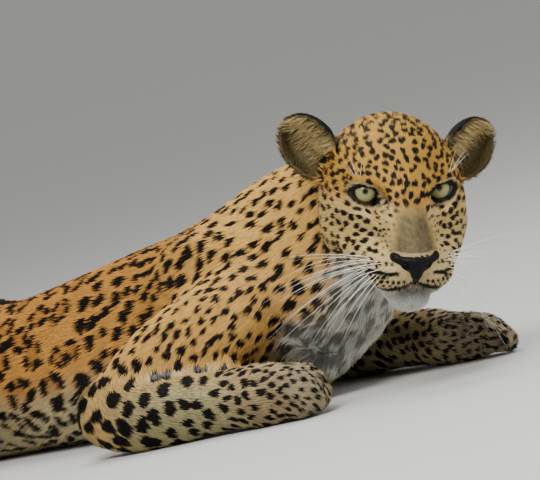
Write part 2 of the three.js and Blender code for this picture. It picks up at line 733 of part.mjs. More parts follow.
// The line of the mouth, from corner to corner below the whisker pads, and the cleft of the upper lip
const lipWay = vec(0.5, 0, -0.2);
const lipSide = [[4, 44, -88], [24, 42, -94], [46, 34, -97], [64, 18, -95]];
const lipLine = [...lipSide, [70, 0, -92], ...lipSide.toReversed().map(([x, y, z]) => [x, -y, z])]
  .map(([x, y, z]) => onHead([x, y, z], lipWay.clone().setY(Math.sign(y) * 0.7)));
const cleft = [-80, -86, -92].map((z) => onHead([70, 0, z], vec(0.7, 0, 0)));

let skull = new Cut(headBack, headWay).keep(solid(headLocal, headLow, headHigh, headCell), 1);
for (const side of [-1, 1]) skull = skull.add(lids(side)).subtract(sphere(eyeRadius + gap, side));
skull = skull.subtract(bar(lipLine, 2.6, 14, 4)).subtract(bar(cleft, 1.8, 2, 4));
place("head", largest(skull.subtract(noseSolid(3 * gap))), fur.gold, headGroup);
const nose = noseSolid(0).subtract(nostril(1)).subtract(nostril(-1));
place("nose", largest(nose), { color: 0x1c1713, roughness: 0.45 }, headGroup);

// An ear: an oval cup that leans outward and opens forward and to its side, cut clear of the skull.
// The left one lies further over than the right.
const earSet = { "-1": { lean: 43, at: [-70, -89, 35] }, 1: { lean: 54, at: [-70, 92, 24] } };
function ear(side) {
  const { lean, at } = earSet[side];
  const cup = (grow) => new THREE.SphereGeometry(1, 16, 10).scale(22 - grow, 31 - grow, 42 - grow);
  const shell = fromGeometry(cup(0)).subtract(fromGeometry(cup(3.4).translate(5, 0, 1)));
  return new Cut(vec(3, 0, 0), vec(-1, 0, 0))
    .keep(shell, 1)
    .rotate([side * -lean, 0, 0])
    .rotate([0, -8, side * 30])
    .translate(at);
}
for (const [name, side] of [["right", -1], ["left", 1]]) {
  place(`eye_${name}`, sphere(eyeRadius, side), { color: 0xb4b070, roughness: 0.1 }, headGroup);
  place(`ear_${name}`, largest(ear(side).subtract(headRoom)), fur.gold, headGroup);
}

export default root;
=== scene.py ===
import math
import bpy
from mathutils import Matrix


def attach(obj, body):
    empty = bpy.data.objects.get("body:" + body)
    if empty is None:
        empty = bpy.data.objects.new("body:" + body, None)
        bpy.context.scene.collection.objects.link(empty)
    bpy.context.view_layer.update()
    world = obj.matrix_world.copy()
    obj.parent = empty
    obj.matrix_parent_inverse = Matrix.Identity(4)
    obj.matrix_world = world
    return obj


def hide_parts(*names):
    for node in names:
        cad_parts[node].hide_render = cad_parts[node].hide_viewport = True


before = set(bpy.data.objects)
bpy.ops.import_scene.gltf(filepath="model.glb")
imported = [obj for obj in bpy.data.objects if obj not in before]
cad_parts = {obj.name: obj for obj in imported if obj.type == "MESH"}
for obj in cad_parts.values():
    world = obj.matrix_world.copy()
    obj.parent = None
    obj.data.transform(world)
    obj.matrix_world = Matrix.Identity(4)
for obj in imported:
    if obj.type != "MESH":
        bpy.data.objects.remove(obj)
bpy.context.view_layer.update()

from concurrent.futures import ThreadPoolExecutor

import bmesh
import bpy
import numpy as np
from mathutils import Matrix, Vector
from mathutils.kdtree import KDTree

scene = bpy.context.scene
mm = 0.001

# The forms of the animal, in millimetres, as in the solids: each gives a distance, negative inside


def joined(a, b, soft):
    h = np.maximum(soft - np.abs(a - b), 0) / soft
    return np.minimum(a, b) - h * h * soft / 4


def carved(a, b, soft):
    return -joined(-a, b, soft)


def unit(v):
    return v / np.maximum(np.linalg.norm(v, axis=-1, keepdims=True), 1e-9)


def turned(*turns):  # each an axis and degrees, the last turned first
    basis = Matrix.Identity(3)
    for axis, degrees in turns:
        basis = basis @ Matrix.Rotation(math.radians(degrees), 3, axis)
    return np.array(basis)


def ovalDistance(d, rx, ry, rz):
    x, y, z = d[:, 0] / rx, d[:, 1] / ry, d[:, 2] / rz
    near = np.sqrt(x * x + y * y + z * z)
    slope = np.sqrt((x / rx) ** 2 + (y / ry) ** 2 + (z / rz) ** 2)
    least = np.minimum(np.minimum(rx, ry), rz)
    return np.where(slope < 1e-6, -least, near * (near - 1) / np.maximum(slope, 1e-6))


def ball(centre, radii, turn=(0, 0, 0)):
    basis = turned(*zip("XYZ", turn))
    return lambda p: ovalDistance((p - centre) @ basis, *radii)


def smoothBetween(a, b, c, d, t):  # from b to c, bending as a and d ask
    t0, t1 = 0.5 * (c - a), 0.5 * (d - b)
    return b + t0 * t + (3 * (c - b) - 2 * t0 - t1) * t ** 2 + (2 * (b - c) + t0 + t1) * t ** 3


def smoothRows(rows, steps):
    rows = np.array(rows, float)
    ext = np.vstack([2 * rows[0] - rows[1], rows, 2 * rows[-1] - rows[-2]])
    share = np.linspace(0, len(rows) - 1, steps + 1)
    i = np.minimum(share.astype(int), len(rows) - 2)
    return smoothBetween(ext[i], ext[i + 1], ext[i + 2], ext[i + 3], (share - i)[:, None])


farAway = 62  # beyond this a form no longer sways the ones beside it


class Run:  # oval sections along a smooth line; the rows run the way the fur lies, unless backward
    def __init__(self, rows, steps=None, backward=False):
        steps = steps or 4 * (len(rows) - 1)
        line = smoothRows(rows, steps)
        self.a, self.b = line[:-1], line[1:]
        along = self.b[:, :3] - self.a[:, :3]
        self.length = np.linalg.norm(along, axis=1)
        self.along = along / self.length[:, None]
        self.side = unit(np.cross((0, 0, 1.0), self.along))
        self.high = np.cross(self.along, self.side)
        self.lie = -1 if backward else 1
        reach = line[:, 3:].max() + farAway
        self.low, self.up = line[:, :3].min(0) - reach, line[:, :3].max(0) + reach

    def __call__(self, p, wantLie=False):
        near = ((p > self.low) & (p < self.up)).all(1)
        if not wantLie and not near.all():
            least = np.full(len(p), 2.0 * farAway)
            if near.any():
                least[near] = self(p[near])
            return least
        least = np.full(len(p), 1e9)
        link = np.zeros(len(p), int)
        for k, (a, b) in enumerate(zip(self.a, self.b)):
            d = (p - a[:3]) @ np.stack([self.side[k], self.high[k], self.along[k]], 1)
            t = np.clip(d[:, 2] / self.length[k], 0, 1)
            w, h = a[3] + (b[3] - a[3]) * t, a[4] + (b[4] - a[4]) * t
            d[:, 2] -= t * self.length[k]
            here = ovalDistance(d, w, h, np.minimum(w, h))
            closer = here < least
            least[closer] = here[closer]
            link[closer] = k
        return (least, self.along[link] * self.lie) if wantLie else least


def blended(fields, soft):
    def field(p):
        d = fields[0](p)
        for f in fields[1:]:
            d = joined(d, f(p), soft)
        return d
    return field


body = dict(press=4, withersTop=226, loinTop=178, ribHalf=104, tailThick=24)
headPose = dict(at=np.array((338.0, -62.0, 220.0)), yaw=-40, pitch=14, roll=-13)
headBasis = turned(("Z", headPose["yaw"]), ("Y", headPose["pitch"]), ("X", headPose["roll"]))


def fromHead(p):
    return np.asarray(p, float) @ headBasis.T + headPose["at"]


def toHead(p):
    return (p - headPose["at"]) @ headBasis


def under(top):
    return (top - body["press"]) / 2


def tall(top):
    return (top + body["press"]) / 2


ribHalf, tailThick = body["ribHalf"], body["tailThick"]
trunk = Run([
    [126, 0, 122, 66, 76],
    [70, 0, 114, 82, 104],
    [0, 0, under(body["withersTop"]), 96, tall(body["withersTop"])],
    [-90, 2, under(217), ribHalf + 2, tall(217)],
    [-180, 4, under(204), ribHalf + 6, tall(204)],
    [-270, 6, under(191), ribHalf + 4, tall(191)],
    [-350, 8, under(182), ribHalf - 2, tall(182)],
    [-430, 6, under(body["loinTop"]), ribHalf - 6, tall(body["loinTop"])],
    [-500, 2, under(184), ribHalf - 2, tall(184)],
    [-570, -6, under(188), 99, tall(188)],
    [-630, -12, 94, 84, 76],
    [-668, -16, 92, 58, 54],
], 33)
shoulderBlades = blended([
    ball((26, 58, 148), (84, 32, 72), (-16, -24, 0)),
    ball((26, -58, 148), (84, 32, 72), (16, -24, 0)),
], 20)
nape = fromHead((-100, 0, -26))
neck = Run([
    [nape[0] + 22, nape[1] - 18, nape[2] - 2, 66, 66],
    [nape[0] - 18, nape[1] + 12, nape[2] - 6, 76, 80],
    [168, 14, 178, 84, 102],
    [100, 8, 154, 90, 110],
    [30, 0, 130, 88, 98],
], 16)
tail = Run([
    [-640, -14, 100, tailThick + 16, tailThick + 18],
    [-700, -16, 72, tailThick + 6, tailThick + 8],
    [-770, -14, 36, tailThick, tailThick],
    [-850, -2, 19, tailThick - 2, tailThick - 2],
    [-940, 24, 18, tailThick - 3, tailThick - 3],
    [-1030, 74, 17, tailThick - 3, tailThick - 3],
    [-1105, 145, 16, tailThick - 4, tailThick - 4],
    [-1150, 232, 16, tailThick - 5, tailThick - 5],
    [-1150, 322, 14, tailThick - 6, tailThick - 6],
    [-1120, 384, 13, tailThick - 8, tailThick - 8],
    [-1108, 398, 12, tailThick - 14, tailThick - 14],
], 30)

foreLegs = {
    "right": dict(side=-1, shoulder=(88, -94, 126), elbow=(-54, -182, 48), wrist=(132, -152, 35),
                  knuckle=(184, -140, 32), toe=(203, -135, 16), thick=34, spread=0.34),
    "left": dict(side=1, shoulder=(84, 94, 126), elbow=(-46, 166, 48), wrist=(160, 122, 34),
                 knuckle=(242, 97, 27), toe=(290, 85, 14), thick=31, spread=0.46),
}
hindLegs = {
    "right": dict(side=-1, hip=(-556, -58, 108), knee=(-404, -142, 90), hock=(-602, -164, 26),
                  knuckle=(-452, -164, 23), toe=(-402, -162, 13), thick=27, spread=0.46),
    "left": dict(side=1, hip=(-556, 50, 108), knee=(-404, 134, 90), hock=(-602, 158, 26),
                 knuckle=(-452, 158, 23), toe=(-402, 156, 13), thick=27, spread=0.46),
}
for leg in [*foreLegs.values(), *hindLegs.values()]:
    for joint in ("shoulder", "elbow", "wrist", "hip", "knee", "hock", "knuckle", "toe"):
        if joint in leg:
            leg[joint] = np.array(leg[joint], float)


def between(a, b, rows, steps=None):  # each row: share of the way from a to b, half width, half height, shift
    def placed(share, w, h, move=(0, 0, 0)):
        return [*(a + (b - a) * share + move), w, h]
    return Run([placed(*r) for r in rows], steps)


def pawWays(leg):  # along the paw and across it, level
    way = unit((leg["toe"] - leg["knuckle"]) * (1, 1, 0))
    return way, np.array((-way[1], way[0], 0))


def pawToes(leg, wide):
    way, across = pawWays(leg)
    thick, toes = leg["thick"], []
    for step in (-1.5, -0.5, 0.5, 1.5):
        shift = across * step * wide * leg["spread"] - way * (wide * 0.28 if abs(step) > 1 else 0)
        root, tip = leg["knuckle"] + shift, leg["toe"] + shift
        toes.append(between(root, tip, [
            (-0.3, wide * 0.27, thick * 0.72),
            (0.4, wide * 0.31, thick * 0.72, (0, 0, thick * 0.14)),
            (1, wide * 0.27, thick * 0.5),
        ], 6))
    return toes


def toeGrooves(leg, wide):  # the dips between neighbouring toes
    way, across = pawWays(leg)
    lift = np.array((0, 0, leg["thick"] * 0.86))
    grooves = []
    for step in (-1, 0, 1):
        shift = across * step * wide * leg["spread"]
        a, b = leg["knuckle"] + shift, leg["toe"] + shift + way * wide * 0.22
        grooves.append(Run([
            [*(a + (b - a) * 0.05 + lift * 1.05), 1.8, 6],
            [*(a + (b - a) * 0.6 + lift * 0.95), 3.4, 12],
            [*(b + lift * 0.4), 4.2, 16],
        ], 6))
    return grooves


def addPaw(leg, start, wide):
    thick = leg["thick"]
    leg["palm"] = between(start, leg["knuckle"], [
        (0, wide * 0.76, thick), (0.55, wide * 0.84, thick * 0.98), (1, wide * 0.9, thick * 0.92),
    ])
    leg["toes"], leg["grooves"] = pawToes(leg, wide), toeGrooves(leg, wide)


def addBox(leg, back, front, inner):  # the space where the leg is looked for
    sides = sorted((leg["side"] * inner, leg["side"] * 300))
    leg["low"], leg["high"] = np.array((back, sides[0], -40)), np.array((front, sides[1], 260))


for leg in foreLegs.values():
    shoulder, elbow, wrist = leg["shoulder"], leg["elbow"], leg["wrist"]
    start = wrist + (leg["knuckle"] - wrist) * 0.12
    leg["upper"] = between(shoulder, elbow, [
        (-0.1, 36, 46), (0.16, 48, 58), (0.55, 44, 62), (0.88, 36, 52), (1.06, 30, 38),
    ])
    leg["lower"] = between(elbow, wrist, [
        (-0.12, 32, 40), (0.1, 42, 50), (0.38, 40, 47), (0.72, 34, 38), (1.0, 33, 35), (1.08, 31, 32),
    ])
    addPaw(leg, start, 38)
    addBox(leg, -150, 420, 20)
for leg in hindLegs.values():
    hip, knee, hock = leg["hip"], leg["knee"], leg["hock"]
    start = hock + (leg["knuckle"] - hock) * 0.72
    leg["upper"] = between(hip, knee, [
        (-0.24, 64, 76, (0, -6 * leg["side"], -4)), (0.15, 70, 88), (0.55, 58, 82), (0.9, 42, 58),
        (1.04, 32, 44),
    ])
    leg["lower"] = between(knee, hock, [
        (-0.02, 34, 46, (0, 0, -14)), (0.3, 38, 44, (0, 0, -12)), (0.7, 28, 32, (0, 0, -4)), (1.0, 22, 27),
        (1.05, 20, 24),
    ])
    leg["foot"] = between(hock, leg["knuckle"], [(-0.12, 21, 27), (0.4, 25, 26), (0.8, 30, 26)])
    addPaw(leg, start, 37)
    addBox(leg, -740, -280, 10)

# The head, in its own frame: x forward, y left, z up, from midway between the eyes; both sides match
eye = dict(apart=41.8, radius=16.0, behind=15.1, lid=18.0, gaze=unit(np.array((0.944, -0.199, 0.262))))
eyeAt = np.array((0, eye["apart"], 0))
skullRun = Run([
    [-128, 0, -12, 48, 48],
    [-96, 0, -2, 64, 65],
    [-56, 0, 2, 72, 71],
    [-24, 0, -7, 66, 64],
    [4, 0, -28, 45, 49],
    [30, 0, -48, 31, 40],
    [50, 0, -64, 26, 32],
], 21, backward=True)
bridge = Run([
    [-4, 0, 0, 21, 26],
    [22, 0, -22, 20, 20],
    [44, 0, -42, 23, 18],
    [58, 0, -58, 23, 16],
], 9, backward=True)
jawRun = Run([
    [-70, 0, -62, 54, 42],
    [-30, 0, -80, 46, 36],
    [6, 0, -97, 32, 27],
    [32, 0, -107, 25, 20],
    [40, 0, -108, 21, 17],
], 12, backward=True)
cheek = ball((-46, 44, -34), (52, 38, 50), (0, 8, 0))
cheekBone = ball((-14, 48, -24), (34, 20, 19), (0, 20, -18))
brow = ball((-1, 36, 19), (17, 22, 10), (0, 12, -14))
whiskerPad = ball((42, 24, -79), (31, 24, 21), (0, 14, -22))
socket = ball((17, eye["apart"] - 1, -3), (15, 20, 13), (0, 0, -22))
tearPit = ball((23, 28, -16), (11, 7, 8), (0, 34, 22))
noseWall = ball((31, 38, -5), (17, 13.5, 14), (0, 30, 0))  # what the fine form loses beside the nose's root
jowl = Run([
    [-34, 50, -52, 30, 30],
    [0, 42, -64, 26, 27],
    [28, 28, -74, 22, 24],
    [44, 21, -79, 20, 20],
], 9, backward=True)
noseField = blended([
    ball((66, 0, -60), (13.5, 23, 6.5)),
    ball((71, 0, -65.5), (10.5, 17.5, 9)),
    ball((72, 0, -70), (10, 7.5, 14.5)),
    ball((63.5, 20.5, -59.5), (10, 7.5, 5.8), (24, 0, -10)),
    ball((63.5, -20.5, -59.5), (10, 7.5, 5.8), (-24, 0, 10)),
], 4)

# An eye's opening, as a closed line laid flat in mm round the eyeball: outwards and up from lidAxis
lidAxis = unit(np.array((0.94, 0.2, 0.0)))
lidAcross = unit(np.cross((0, 0, 1.0), lidAxis))
lidUp = np.cross(lidAxis, lidAcross)


def lidFlat(q):  # places round an eye's centre, laid flat on the tangent plane, in mm along the eyeball
    q = unit(q)
    angle = np.arccos(np.clip(q @ lidAxis, -1, 1))
    side = np.stack([q @ lidAcross, q @ lidUp], 1)
    return unit(side) * (angle * eye["radius"])[:, None]


def closedLine(points, steps):
    points = np.array(points, float)
    n = len(points)
    share = np.arange(n * steps) / steps
    i = share.astype(int)
    near = [points[(i + k) % n] for k in (-1, 0, 1, 2)]
    return smoothBetween(*near, (share - i)[:, None])


lidPath = closedLine([
    (-17.5, -9.5), (-13.8, -1.5), (-10.8, 3.8), (-6.5, 7.4), (-0.8, 8.9), (4.6, 8.7), (11.4, 6.2),
    (18, 3.2), (15, -0.6), (11.8, -3.5), (6.2, -6.4), (0, -8.2), (-6.2, -10.4), (-12.6, -12),
], 4)


def lidOpening(p):  # mirrored head places to a distance from the lids' edge, negative in the opening
    q = p - eyeAt
    flat, reach = lidFlat(q), np.linalg.norm(q, axis=1)
    a, b = lidPath, np.roll(lidPath, -1, 0)
    least = np.full(len(p), 1e9)
    inside = np.zeros(len(p), bool)
    for p0, p1 in zip(a, b):
        way = p1 - p0
        t = np.clip((flat - p0) @ way / (way @ way), 0, 1)
        least = np.minimum(least, np.linalg.norm(flat - p0 - t[:, None] * way, axis=1))
        spans = (p0[1] > flat[:, 1]) != (p1[1] > flat[:, 1])
        with np.errstate(divide="ignore", invalid="ignore"):
            cross = p0[0] + (flat[:, 1] - p0[1]) * way[0] / way[1]
        inside ^= spans & (flat[:, 0] < cross)
    return np.where(inside, -least, least) + 1.2 * np.clip(reach - 20, 0, None)


def mirrored(p):
    return p * (1, 0, 1) + np.abs(p[:, 1:2]) * (0, 1, 0)


def plainHead(s):
    d = joined(skullRun(s), jawRun(s), 14)
    d = joined(d, cheek(s), 24)
    d = joined(d, cheekBone(s), 16)
    d = joined(d, bridge(s), 8)
    d = joined(d, brow(s), 12)
    d = carved(d, socket(s), 8)
    d = carved(d, tearPit(s), 9)
    d = joined(d, jowl(s), 16)
    return joined(d, whiskerPad(s), 12)


def ontoHead(points, ways):  # slides places along their ways onto the head's surface
    points = np.array(points, float)
    for _ in range(14):
        points -= plainHead(mirrored(points))[:, None] * ways
    return points


lips = ontoHead([(4, 44, -88), (24, 42, -94), (46, 34, -97), (64, 18, -95), (70, 0, -92)],
                [(0.5, 0.7, -0.2)] * 4 + [(0.5, 0, -0.2)])
cleft = ontoHead([(70, 0, -80), (70, 0, -86), (70, 0, -92)], [(0.7, 0, 0)] * 3)
mouthLine = Run([[*q, 1.8, 1.8] for q in lips], 16)
lipCleft = Run([[*q, 1.1, 1.4] for q in cleft], 4)


def headShape(p, fine):
    s = mirrored(p)
    d = plainHead(s)
    if not fine:
        return d
    d = carved(d, lipCleft(s), 2)
    d = carved(d, mouthLine(s), 2)
    d = carved(d, noseWall(s), 7)
    near = np.nonzero(np.linalg.norm(s - eyeAt, axis=1) < 34)[0]
    if len(near):
        q, here = s[near], d[near]
        reach = np.linalg.norm(q - eyeAt, axis=1)
        rim = lidOpening(q)
        lid = reach - eye["lid"] + 1.6 * np.clip(rim / 9, 0, 1) ** 2
        here = joined(here, lid, 4)
        here = carved(here, np.maximum(rim, eye["behind"] - reach), 1.4)
        d[near] = np.minimum(here, reach - eye["behind"])
    return d


def wholeShape(p, fine=True):
    d = joined(trunk(p), shoulderBlades(p), 44)
    front = p[:, 0] > -140
    back = p[:, 0] < -560
    if front.any():
        d[front] = joined(d[front], neck(p[front]), 40)
    if back.any():
        d[back] = joined(d[back], tail(p[back]), 30)
    for leg, soft in [(leg, 26) for leg in foreLegs.values()] + [(leg, 30) for leg in hindLegs.values()]:
        near = np.nonzero(((p > leg["low"]) & (p < leg["high"])).all(1))[0]
        if not len(near):
            continue
        q = p[near]
        hand = joined(leg["palm"](q), blended(leg["toes"], 4)(q), 8)
        if fine:
            hand = carved(hand, blended(leg["grooves"], 2)(q), 5)
        if "foot" in leg:
            low = joined(leg["lower"](q), joined(leg["foot"](q), hand, 12), 10)
        else:
            low = joined(leg["lower"](q), hand, 12)
        d[near] = joined(joined(d[near], leg["upper"](q), soft), low, 10)
    h = toHead(p)
    near = np.nonzero((np.abs(h - (-20, 0, -30)) < (170, 140, 150)).all(1))[0]
    if len(near):
        d[near] = joined(d[near], headShape(h[near], fine), 22)
    return d


def inParts(field, p):  # four threads, each on its own share of the places
    parts = np.array_split(p, max(1, min(16, len(p) // 500)))
    with ThreadPoolExecutor(4) as pool:
        return np.concatenate(list(pool.map(field, parts)))


def slopeOf(field, p, d, e=0.3):
    return np.stack([(inParts(field, p + step) - d) / e for step in np.eye(3) * e], 1)


def smoothStep(low, high, x):
    t = np.clip((x - low) / (high - low), 0, 1)
    return t * t * (3 - 2 * t)


# How deep the coat is, so how far the skin lies inside the solids
coat = dict(body=5.5, head=3.2, face=1.5, paw=2.6)


def pawNearness(p):
    least = np.full(len(p), 1e9)
    for leg in [*foreLegs.values(), *hindLegs.values()]:
        middle = (leg["knuckle"] + leg["toe"]) / 2
        least = np.minimum(least, np.linalg.norm(p - middle, axis=1))
    return smoothStep(120, 60, least)


def faceNearness(h):
    front = smoothStep(-70, 10, h[:, 0] - 0.2 * np.abs(h[:, 1]))
    return front * smoothStep(-150, -110, h[:, 2])


def coatDepth(p):
    h = toHead(p)
    onHead = smoothStep(-120, -60, h[:, 0]) * smoothStep(-170, -120, h[:, 2])
    onHead *= smoothStep(140, 115, np.abs(h[:, 1]))
    depth = coat["body"] + (coat["head"] - coat["body"]) * onHead
    depth += (coat["face"] - depth) * faceNearness(h) * onHead
    toEye = np.linalg.norm(mirrored(h) - eyeAt, axis=1)
    depth *= smoothStep(15, 30, toEye)
    depth += (coat["paw"] - depth) * pawNearness(p)
    return depth


def skinShape(p):
    return wholeShape(p) + coatDepth(p)


# Camera: the photo's angle and framing, level with the head and turned with the photo's slope
view = dict(azimuth=42, elevation=3.5, roll=15, distance=6000, zoom=0.955, eyePixel=(402, 190),
            frame=(540, 480), pixelsPerMetre=950)


def makeCamera():
    a, e, r = (math.radians(view[k]) for k in ("azimuth", "elevation", "roll"))
    back = Vector((math.sin(a) * math.cos(e), -math.cos(a) * math.cos(e), math.sin(e)))
    level = Vector((math.cos(a), math.sin(a), 0))
    upright = back.cross(level)
    right = level * math.cos(r) - upright * math.sin(r)
    up = upright * math.cos(r) + level * math.sin(r)
    scale = view["pixelsPerMetre"] * view["zoom"]
    data = bpy.data.cameras.new("photoCamera")
    data.sensor_width = 36
    data.lens = 36 * view["distance"] * mm / (view["frame"][0] / scale)
    data.clip_end = 400
    camera = bpy.data.objects.new("photoCamera", data)
    place = Vector(headPose["at"] * mm) + back * view["distance"] * mm
    place -= right * (view["eyePixel"][0] - view["frame"][0] / 2) / scale
    place -= up * (view["frame"][1] / 2 - view["eyePixel"][1]) / scale
    camera.matrix_world = Matrix((
        (right.x, up.x, back.x, place.x),
        (right.y, up.y, back.y, place.y),
        (right.z, up.z, back.z, place.z),
        (0, 0, 0, 1),
    ))
    scene.collection.objects.link(camera)
    scene.camera = camera


makeCamera()
print("camera set")

# Mesh helpers


def meshOf(name, bm):
    mesh = bpy.data.meshes.new(name)
    bm.to_mesh(mesh)
    bm.free()
    return mesh


def finishedMesh(thing):  # the mesh of an object with its modifiers
    return bpy.data.meshes.new_from_object(thing.evaluated_get(bpy.context.evaluated_depsgraph_get()))


def placesOf(verts):
    return np.array([v.co for v in verts]) / mm


def meshObject(name, mesh):
    made = bpy.data.objects.new(name, mesh)
    scene.collection.objects.link(made)
    return made


def readArray(items, key, width, kind=np.int32):
    values = np.empty(len(items) * width, kind)
    items.foreach_get(key, values)
    return values.reshape(-1, width)


def setPlaces(mesh, places):
    mesh.vertices.foreach_set("co", (places * mm).astype(np.float32).ravel())
    mesh.update()


def vertexAttribute(mesh, name, kind, values):
    layer = mesh.attributes.get(name) or mesh.attributes.new(name, kind, "POINT")
    key = {"FLOAT": "value", "FLOAT_VECTOR": "vector", "FLOAT_COLOR": "color"}[kind]
    layer.data.foreach_set(key, np.ascontiguousarray(values, np.float32).ravel())


def keepLargest(bm):
    seen, best = set(), []
    bm.verts.ensure_lookup_table()
    for start in bm.verts:
        if start in seen:
            continue
        island, stack = [], [start]
        seen.add(start)
        while stack:
            v = stack.pop()
            island.append(v)
            for e in v.link_edges:
                w = e.other_vert(v)
                if w not in seen:
                    seen.add(w)
                    stack.append(w)
        if len(island) > len(best):
            best = island
    keep = set(best)
    bmesh.ops.delete(bm, geom=[v for v in bm.verts if v not in keep], context="VERTS")


# The skin: copies of the solids run together, evened out and drawn onto the forms
skinMake = dict(voxel=4.6, grow=0.9)
fleshNodes = ["head", "neck", "chest", "loin", "rump", "tail_root", "tail_middle", "tail_tip"]
limbNodes = ("upper_arm", "forearm", "forepaw", "thigh", "shin", "hind_foot")
fleshNodes += [f"{limb}_{side}" for side in ("right", "left") for limb in limbNodes]
faceNodes = ["nose", "eye_right", "eye_left"]  # filled in, so that the skin runs on behind them


def makeSkin():
    bm = bmesh.new()
    for name in [*fleshNodes, *faceNodes]:
        one = bmesh.new()
        one.from_mesh(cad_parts[name].data)
        bmesh.ops.remove_doubles(one, verts=one.verts, dist=1e-5)
        one.normal_update()
        for v in one.verts:
            v.co += v.normal * skinMake["grow"] * mm
        copy = meshOf("copy", one)
        bm.from_mesh(copy)
        bpy.data.meshes.remove(copy)
    rough = meshObject("roughSkin", meshOf("skin", bm))
    remesh = rough.modifiers.new("even", "REMESH")
    remesh.mode = "VOXEL"
    remesh.voxel_size = skinMake["voxel"] * mm
    even = finishedMesh(rough)
    bpy.data.objects.remove(rough)
    bm = bmesh.new()
    bm.from_mesh(even)
    bpy.data.meshes.remove(even)
    keepLargest(bm)
    return bm


def settle(bm, field, turns, most, only=None):
    verts = only or list(bm.verts)
    p = placesOf(verts)
    for _ in range(turns):
        d = inParts(field, p)
        slope = slopeOf(field, p, d)
        size = np.maximum((slope ** 2).sum(1), 0.15)
        step = np.clip(d / size, -most, most)
        p -= slope * step[:, None]
    for v, q in zip(verts, p):
        v.co = Vector(q * mm)


skinBm = makeSkin()
print("skin base", len(skinBm.verts), "places")
settle(skinBm, skinShape, 3, 4)


def refine(bm, wanted):
    bm.edges.ensure_lookup_table()
    middle = np.array([(e.verts[0].co + e.verts[1].co) / 2 for e in bm.edges]) / mm
    pick = wanted(middle)
    edges = [e for e, yes in zip(bm.edges, pick) if yes]
    bmesh.ops.subdivide_edges(bm, edges=edges, cuts=1, use_grid_fill=True, smooth=0.6)
    # long faces left by the split are cut up, so that they bend with the form
    bmesh.ops.triangulate(bm, faces=[f for f in bm.faces if len(f.verts) > 4])


def wantHead(p):
    h = toHead(p)
    return (h[:, 0] > -60) & (np.abs(h - (0, 0, -30)) < (130, 100, 120)).all(1)


def wantFace(p):
    h = toHead(p)
    toEye = np.linalg.norm(mirrored(h) - (4, eye["apart"], -3), axis=1)
    muzzle = (h[:, 0] > 40) & (h[:, 2] < -48) & (h[:, 2] > -125)
    return (toEye < 27) | muzzle


def wantLids(p):
    s = mirrored(toHead(p))
    near = np.nonzero(np.linalg.norm(s - eyeAt, axis=1) < 30)[0]
    pick = np.zeros(len(p), bool)
    pick[near] = np.abs(lidOpening(s[near])) < 3.4
    return pick


for wanted, turns, most in ((wantHead, 2, 2), (wantFace, 3, 1.2), (wantLids, 3, 0.5)):
    refine(skinBm, wanted)
    near = wanted(placesOf(skinBm.verts))
    settle(skinBm, skinShape, turns, most, [v for v, yes in zip(skinBm.verts, near) if yes])
    print("skin refined to", len(skinBm.verts), "places")
print("skin", len(skinBm.verts), "places", sum(len(f.verts) - 2 for f in skinBm.faces), "triangles")
for f in skinBm.faces:
    f.smooth = True
skin = meshObject("skin", meshOf("skin", skinBm))

# Ears: oval cups with a rounded rim, run into the skin
earCup = dict(size=(21.5, 30.5, 41.5), wall=3.0, opening=2.0, rows=20, around=56)
earSet = {-1: dict(lean=43, at=(-70, -89, 35)), 1: dict(lean=54, at=(-70, 92, 24))}


def earTurn(side):
    return turned(("Z", side * 30), ("Y", -8), ("X", -side * earSet[side]["lean"]))


def cupShell():  # half an egg, ring by ring from its closed end, so that it is the same on each run
    bm = bmesh.new()
    deep, wide, high = earCup["size"]
    last = math.acos(-earCup["opening"] / deep)
    rings = []
    for k in range(1, earCup["rows"] + 1):
        a = last * k / earCup["rows"]
        turns = [2 * math.pi * i / earCup["around"] for i in range(earCup["around"])]
        rings.append([bm.verts.new((-deep * math.cos(a), wide * math.sin(a) * math.cos(f),
                                    high * math.sin(a) * math.sin(f))) for f in turns])
    end = bm.verts.new((-deep, 0, 0))
    for i in range(earCup["around"]):
        j = (i + 1) % earCup["around"]
        bm.faces.new((end, rings[0][j], rings[0][i]))
        for near, far in zip(rings, rings[1:]):
            bm.faces.new((near[i], near[j], far[j], far[i]))
    bmesh.ops.recalc_face_normals(bm, faces=bm.faces)
    return bm


def makeEar(side):
    bm = cupShell()
    rim = [e for e in bm.edges if e.is_boundary]
    for v in {v for e in rim for v in e.verts}:  # the rim waves a little, low at the outer foot of the ear
        v.co.x += 2.2 * math.sin(2.3 * math.atan2(v.co.z, v.co.y * side) + 0.5)
    for v in bm.verts:  # the back is drawn in below, where the ear is rolled to a tube
        low = max(0.0, -v.co.z / earCup["size"][2])
        v.co.y *= 1 - 0.18 * low
    bmesh.ops.solidify(bm, geom=list(bm.faces), thickness=earCup["wall"])
    bmesh.ops.recalc_face_normals(bm, faces=bm.faces)
    sharp = [e for e in bm.edges if len(e.link_faces) == 2 and e.calc_face_angle(0) > 0.9]
    bmesh.ops.bevel(bm, geom=sharp, offset=1.0, offset_type="OFFSET", affect="EDGES", segments=3, profile=0.5,
                    material=-1, clamp_overlap=True)
    bmesh.ops.transform(bm, matrix=Matrix(earTurn(side)).to_4x4(), verts=bm.verts)
    for v in bm.verts:
        q = np.array(v.co) + earSet[side]["at"]
        v.co = Vector(fromHead(q) * mm)
    return meshObject("ear", meshOf("ear", bm))


for side in (-1, 1):
    cup = makeEar(side)
    union = skin.modifiers.new("ear", "BOOLEAN")
    union.operation = "UNION"
    union.solver = "MANIFOLD"
    union.object = cup
    together = finishedMesh(skin)
    skin.modifiers.clear()
    skin.data = together
    bpy.data.objects.remove(cup)
skin.data.shade_smooth()
skin.data.name = "skin"
print("ears joined,", len(skin.data.polygons), "faces")

